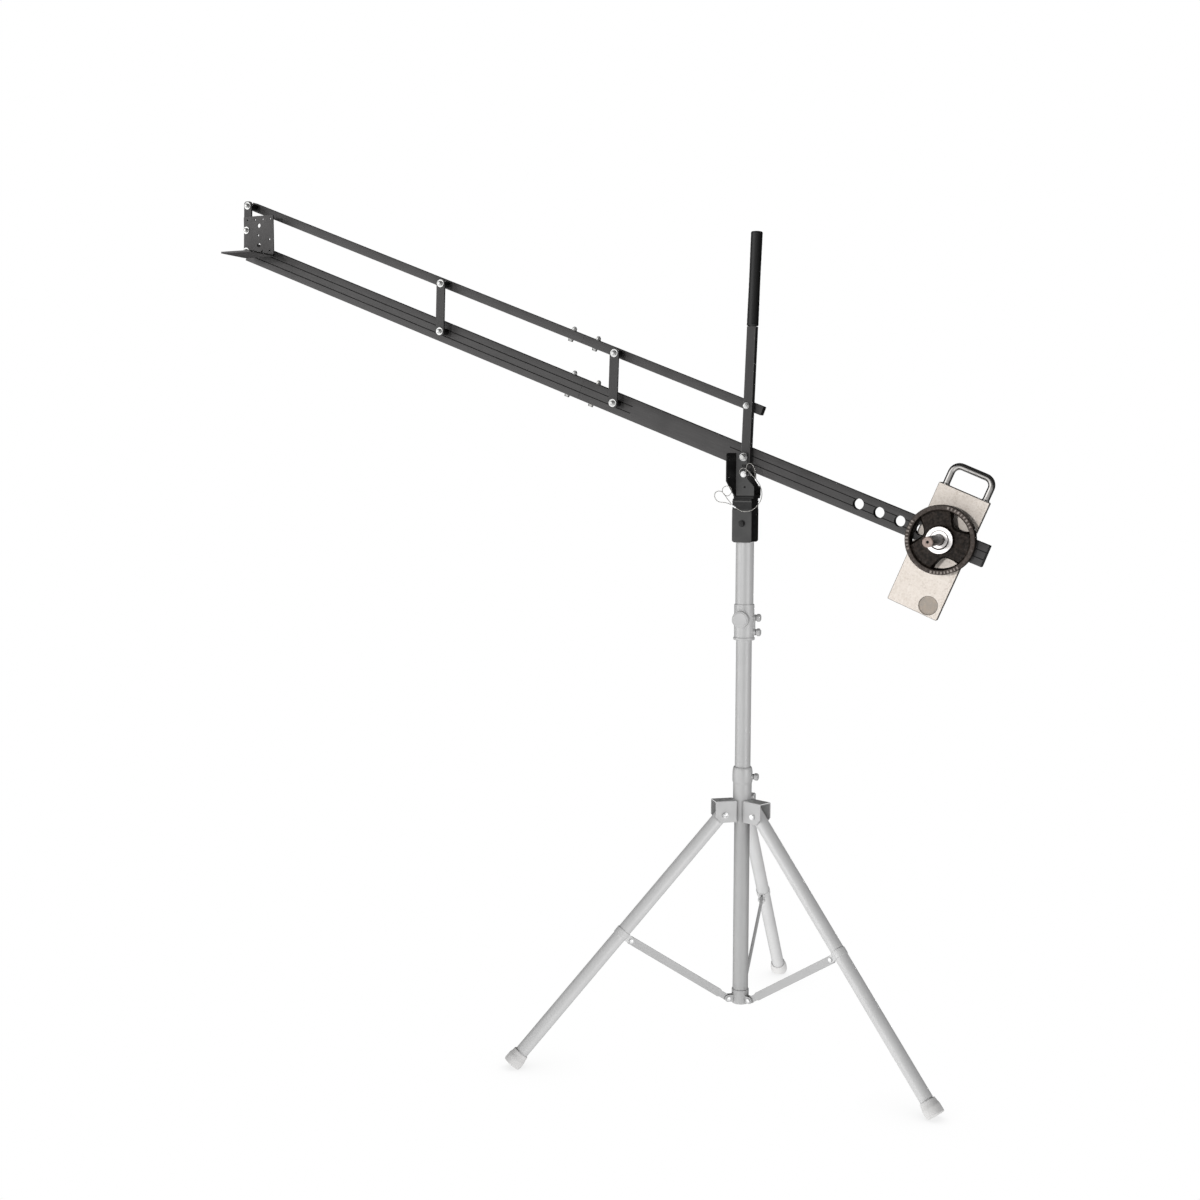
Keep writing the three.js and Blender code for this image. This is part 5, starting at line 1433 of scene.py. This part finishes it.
def sun(name, azimuth, elevation, strength, angle, receivers=None, glossy=True):
    """azimuth: where the light stands, in degrees from -Y towards +X."""
    data = bpy.data.lights.new(name, "SUN")
    data.energy = strength
    data.angle = math.radians(angle)
    ob = bpy.data.objects.new(name, data)
    scene.collection.objects.link(ob)
    ob.visible_glossy = glossy
    a, e = math.radians(azimuth), math.radians(elevation)
    d = Vector((math.sin(a) * math.cos(e), -math.cos(a) * math.cos(e), math.sin(e)))
    ob.rotation_euler = d.to_track_quat("Z", "Y").to_euler()
    if receivers:
        ob.light_linking.receiver_collection = receivers
    return ob


stand_pieces = bpy.data.collections.new("stand_pieces")
crane_pieces = bpy.data.collections.new("crane_pieces")
pale = {M["stand"], M["stand_leg"], M["stand_painted_light_top"], M["stand_dark"], M["stand_bolt"], M["foot"]}
for o in list(scene.collection.objects):
    if o.type == "MESH":
        mats = set(o.data.materials)
        (stand_pieces if mats & pale and o.name != "locking_pin" and not o.name.startswith("lanyard") else crane_pieces).objects.link(o)
lit = bpy.data.collections.new("lit_pieces")
for o in list(stand_pieces.objects) + list(crane_pieces.objects):
    lit.objects.link(o)

sun("key", -7, 5, 2.05, 5, crane_pieces, False)
sun("stand_left", -60, 4, 1.25, 40, stand_pieces)
sun("stand_right", 64, 2, 2.3, 40, stand_pieces)
sun("back", 174, 0, 1.7, 20, lit, False)
shiny = bpy.data.collections.new("shiny_pieces")
bare = {M["turned"], M["bar_end"], M["wire"], M["stand_bolt"]}
for o in lit.objects:
    if set(o.data.materials) & bare and o.name != "locking_pin":
        shiny.objects.link(o)
glint = sun("glint", -9, 5, 0.9, 5, shiny)
glint.visible_diffuse = False

world = bpy.data.worlds.new("studio")
scene.world = world
world.use_nodes = True
wt = world.node_tree
bg = wt.nodes["Background"]
co = wt.nodes.new("ShaderNodeTexCoord")


def lobe(azimuth, elevation, a, b, lo, hi):
    """Soft patch of light around a direction, azimuth from -Y towards +X."""
    az, el = math.radians(azimuth), math.radians(elevation)
    dot = wt.nodes.new("ShaderNodeVectorMath")
    dot.operation = "DOT_PRODUCT"
    dot.inputs[1].default_value = (math.sin(az) * math.cos(el), -math.cos(az) * math.cos(el), math.sin(el))
    wt.links.new(co.outputs["Generated"], dot.inputs[0])
    ramp = wt.nodes.new("ShaderNodeMapRange")
    ramp.interpolation_type = "SMOOTHSTEP"
    ramp.inputs["From Min"].default_value = a
    ramp.inputs["From Max"].default_value = b
    ramp.inputs["To Min"].default_value = lo
    ramp.inputs["To Max"].default_value = hi
    wt.links.new(dot.outputs["Value"], ramp.inputs["Value"])
    return ramp.outputs["Result"]


add = wt.nodes.new("ShaderNodeMath")
add.operation = "ADD"
wt.links.new(lobe(-44, 8, 0.87, 0.985, 0.04, 1.9), add.inputs[0])
wt.links.new(lobe(-25, -58, 0.15, 0.95, 0.0, 1.4), add.inputs[1])
wt.links.new(add.outputs["Value"], bg.inputs["Strength"])
bg.inputs["Color"].default_value = (1, 1, 1, 1)


def staged(name, mesh, mat):
    ob = bpy.data.objects.new(name, mesh)
    scene.collection.objects.link(ob)
    mesh.materials.append(mat)
    for k in ("visible_diffuse", "visible_glossy", "visible_transmission", "visible_volume_scatter", "visible_shadow"):
        setattr(ob, k, False)
    return ob


def glow(name, painted_contact_shadow):
    m = bpy.data.materials.new(name)
    m.use_nodes = True
    t = m.node_tree
    t.nodes.clear()
    out = t.nodes.new("ShaderNodeOutputMaterial")
    em = t.nodes.new("ShaderNodeEmission")
    em.inputs["Color"].default_value = (1, 1, 1, 1)
    em.inputs["Strength"].default_value = 1.0
    # Ambient occlusion dims the floor's glow round the feet: a painted contact shadow.
    if painted_contact_shadow:
        ao = t.nodes.new("ShaderNodeAmbientOcclusion")
        ao.inputs["Distance"].default_value = 0.16
        ao.samples = 12
        mr = t.nodes.new("ShaderNodeMapRange")
        mr.inputs["From Min"].default_value = 0.35
        mr.inputs["From Max"].default_value = 0.95
        mr.inputs["To Min"].default_value = 0.86
        mr.inputs["To Max"].default_value = 1.0
        t.links.new(ao.outputs["AO"], mr.inputs["Value"])
        t.links.new(mr.outputs["Result"], em.inputs["Strength"])
    t.links.new(em.outputs["Emission"], out.inputs["Surface"])
    return m


me = bpy.data.meshes.new("floor")
me.from_pydata([(-30, -30, 0), (30, -30, 0), (30, 30, 0), (-30, 30, 0)], [], [(0, 1, 2, 3)])
staged("floor", me, glow("floor_white", True))
me = bpy.data.meshes.new("backdrop")
bm = bmesh.new()
bmesh.ops.create_uvsphere(bm, u_segments=32, v_segments=16, radius=32)
bm.to_mesh(me)
bm.free()
staged("backdrop", me, glow("backdrop_white", False))

bpy.context.view_layer.update()
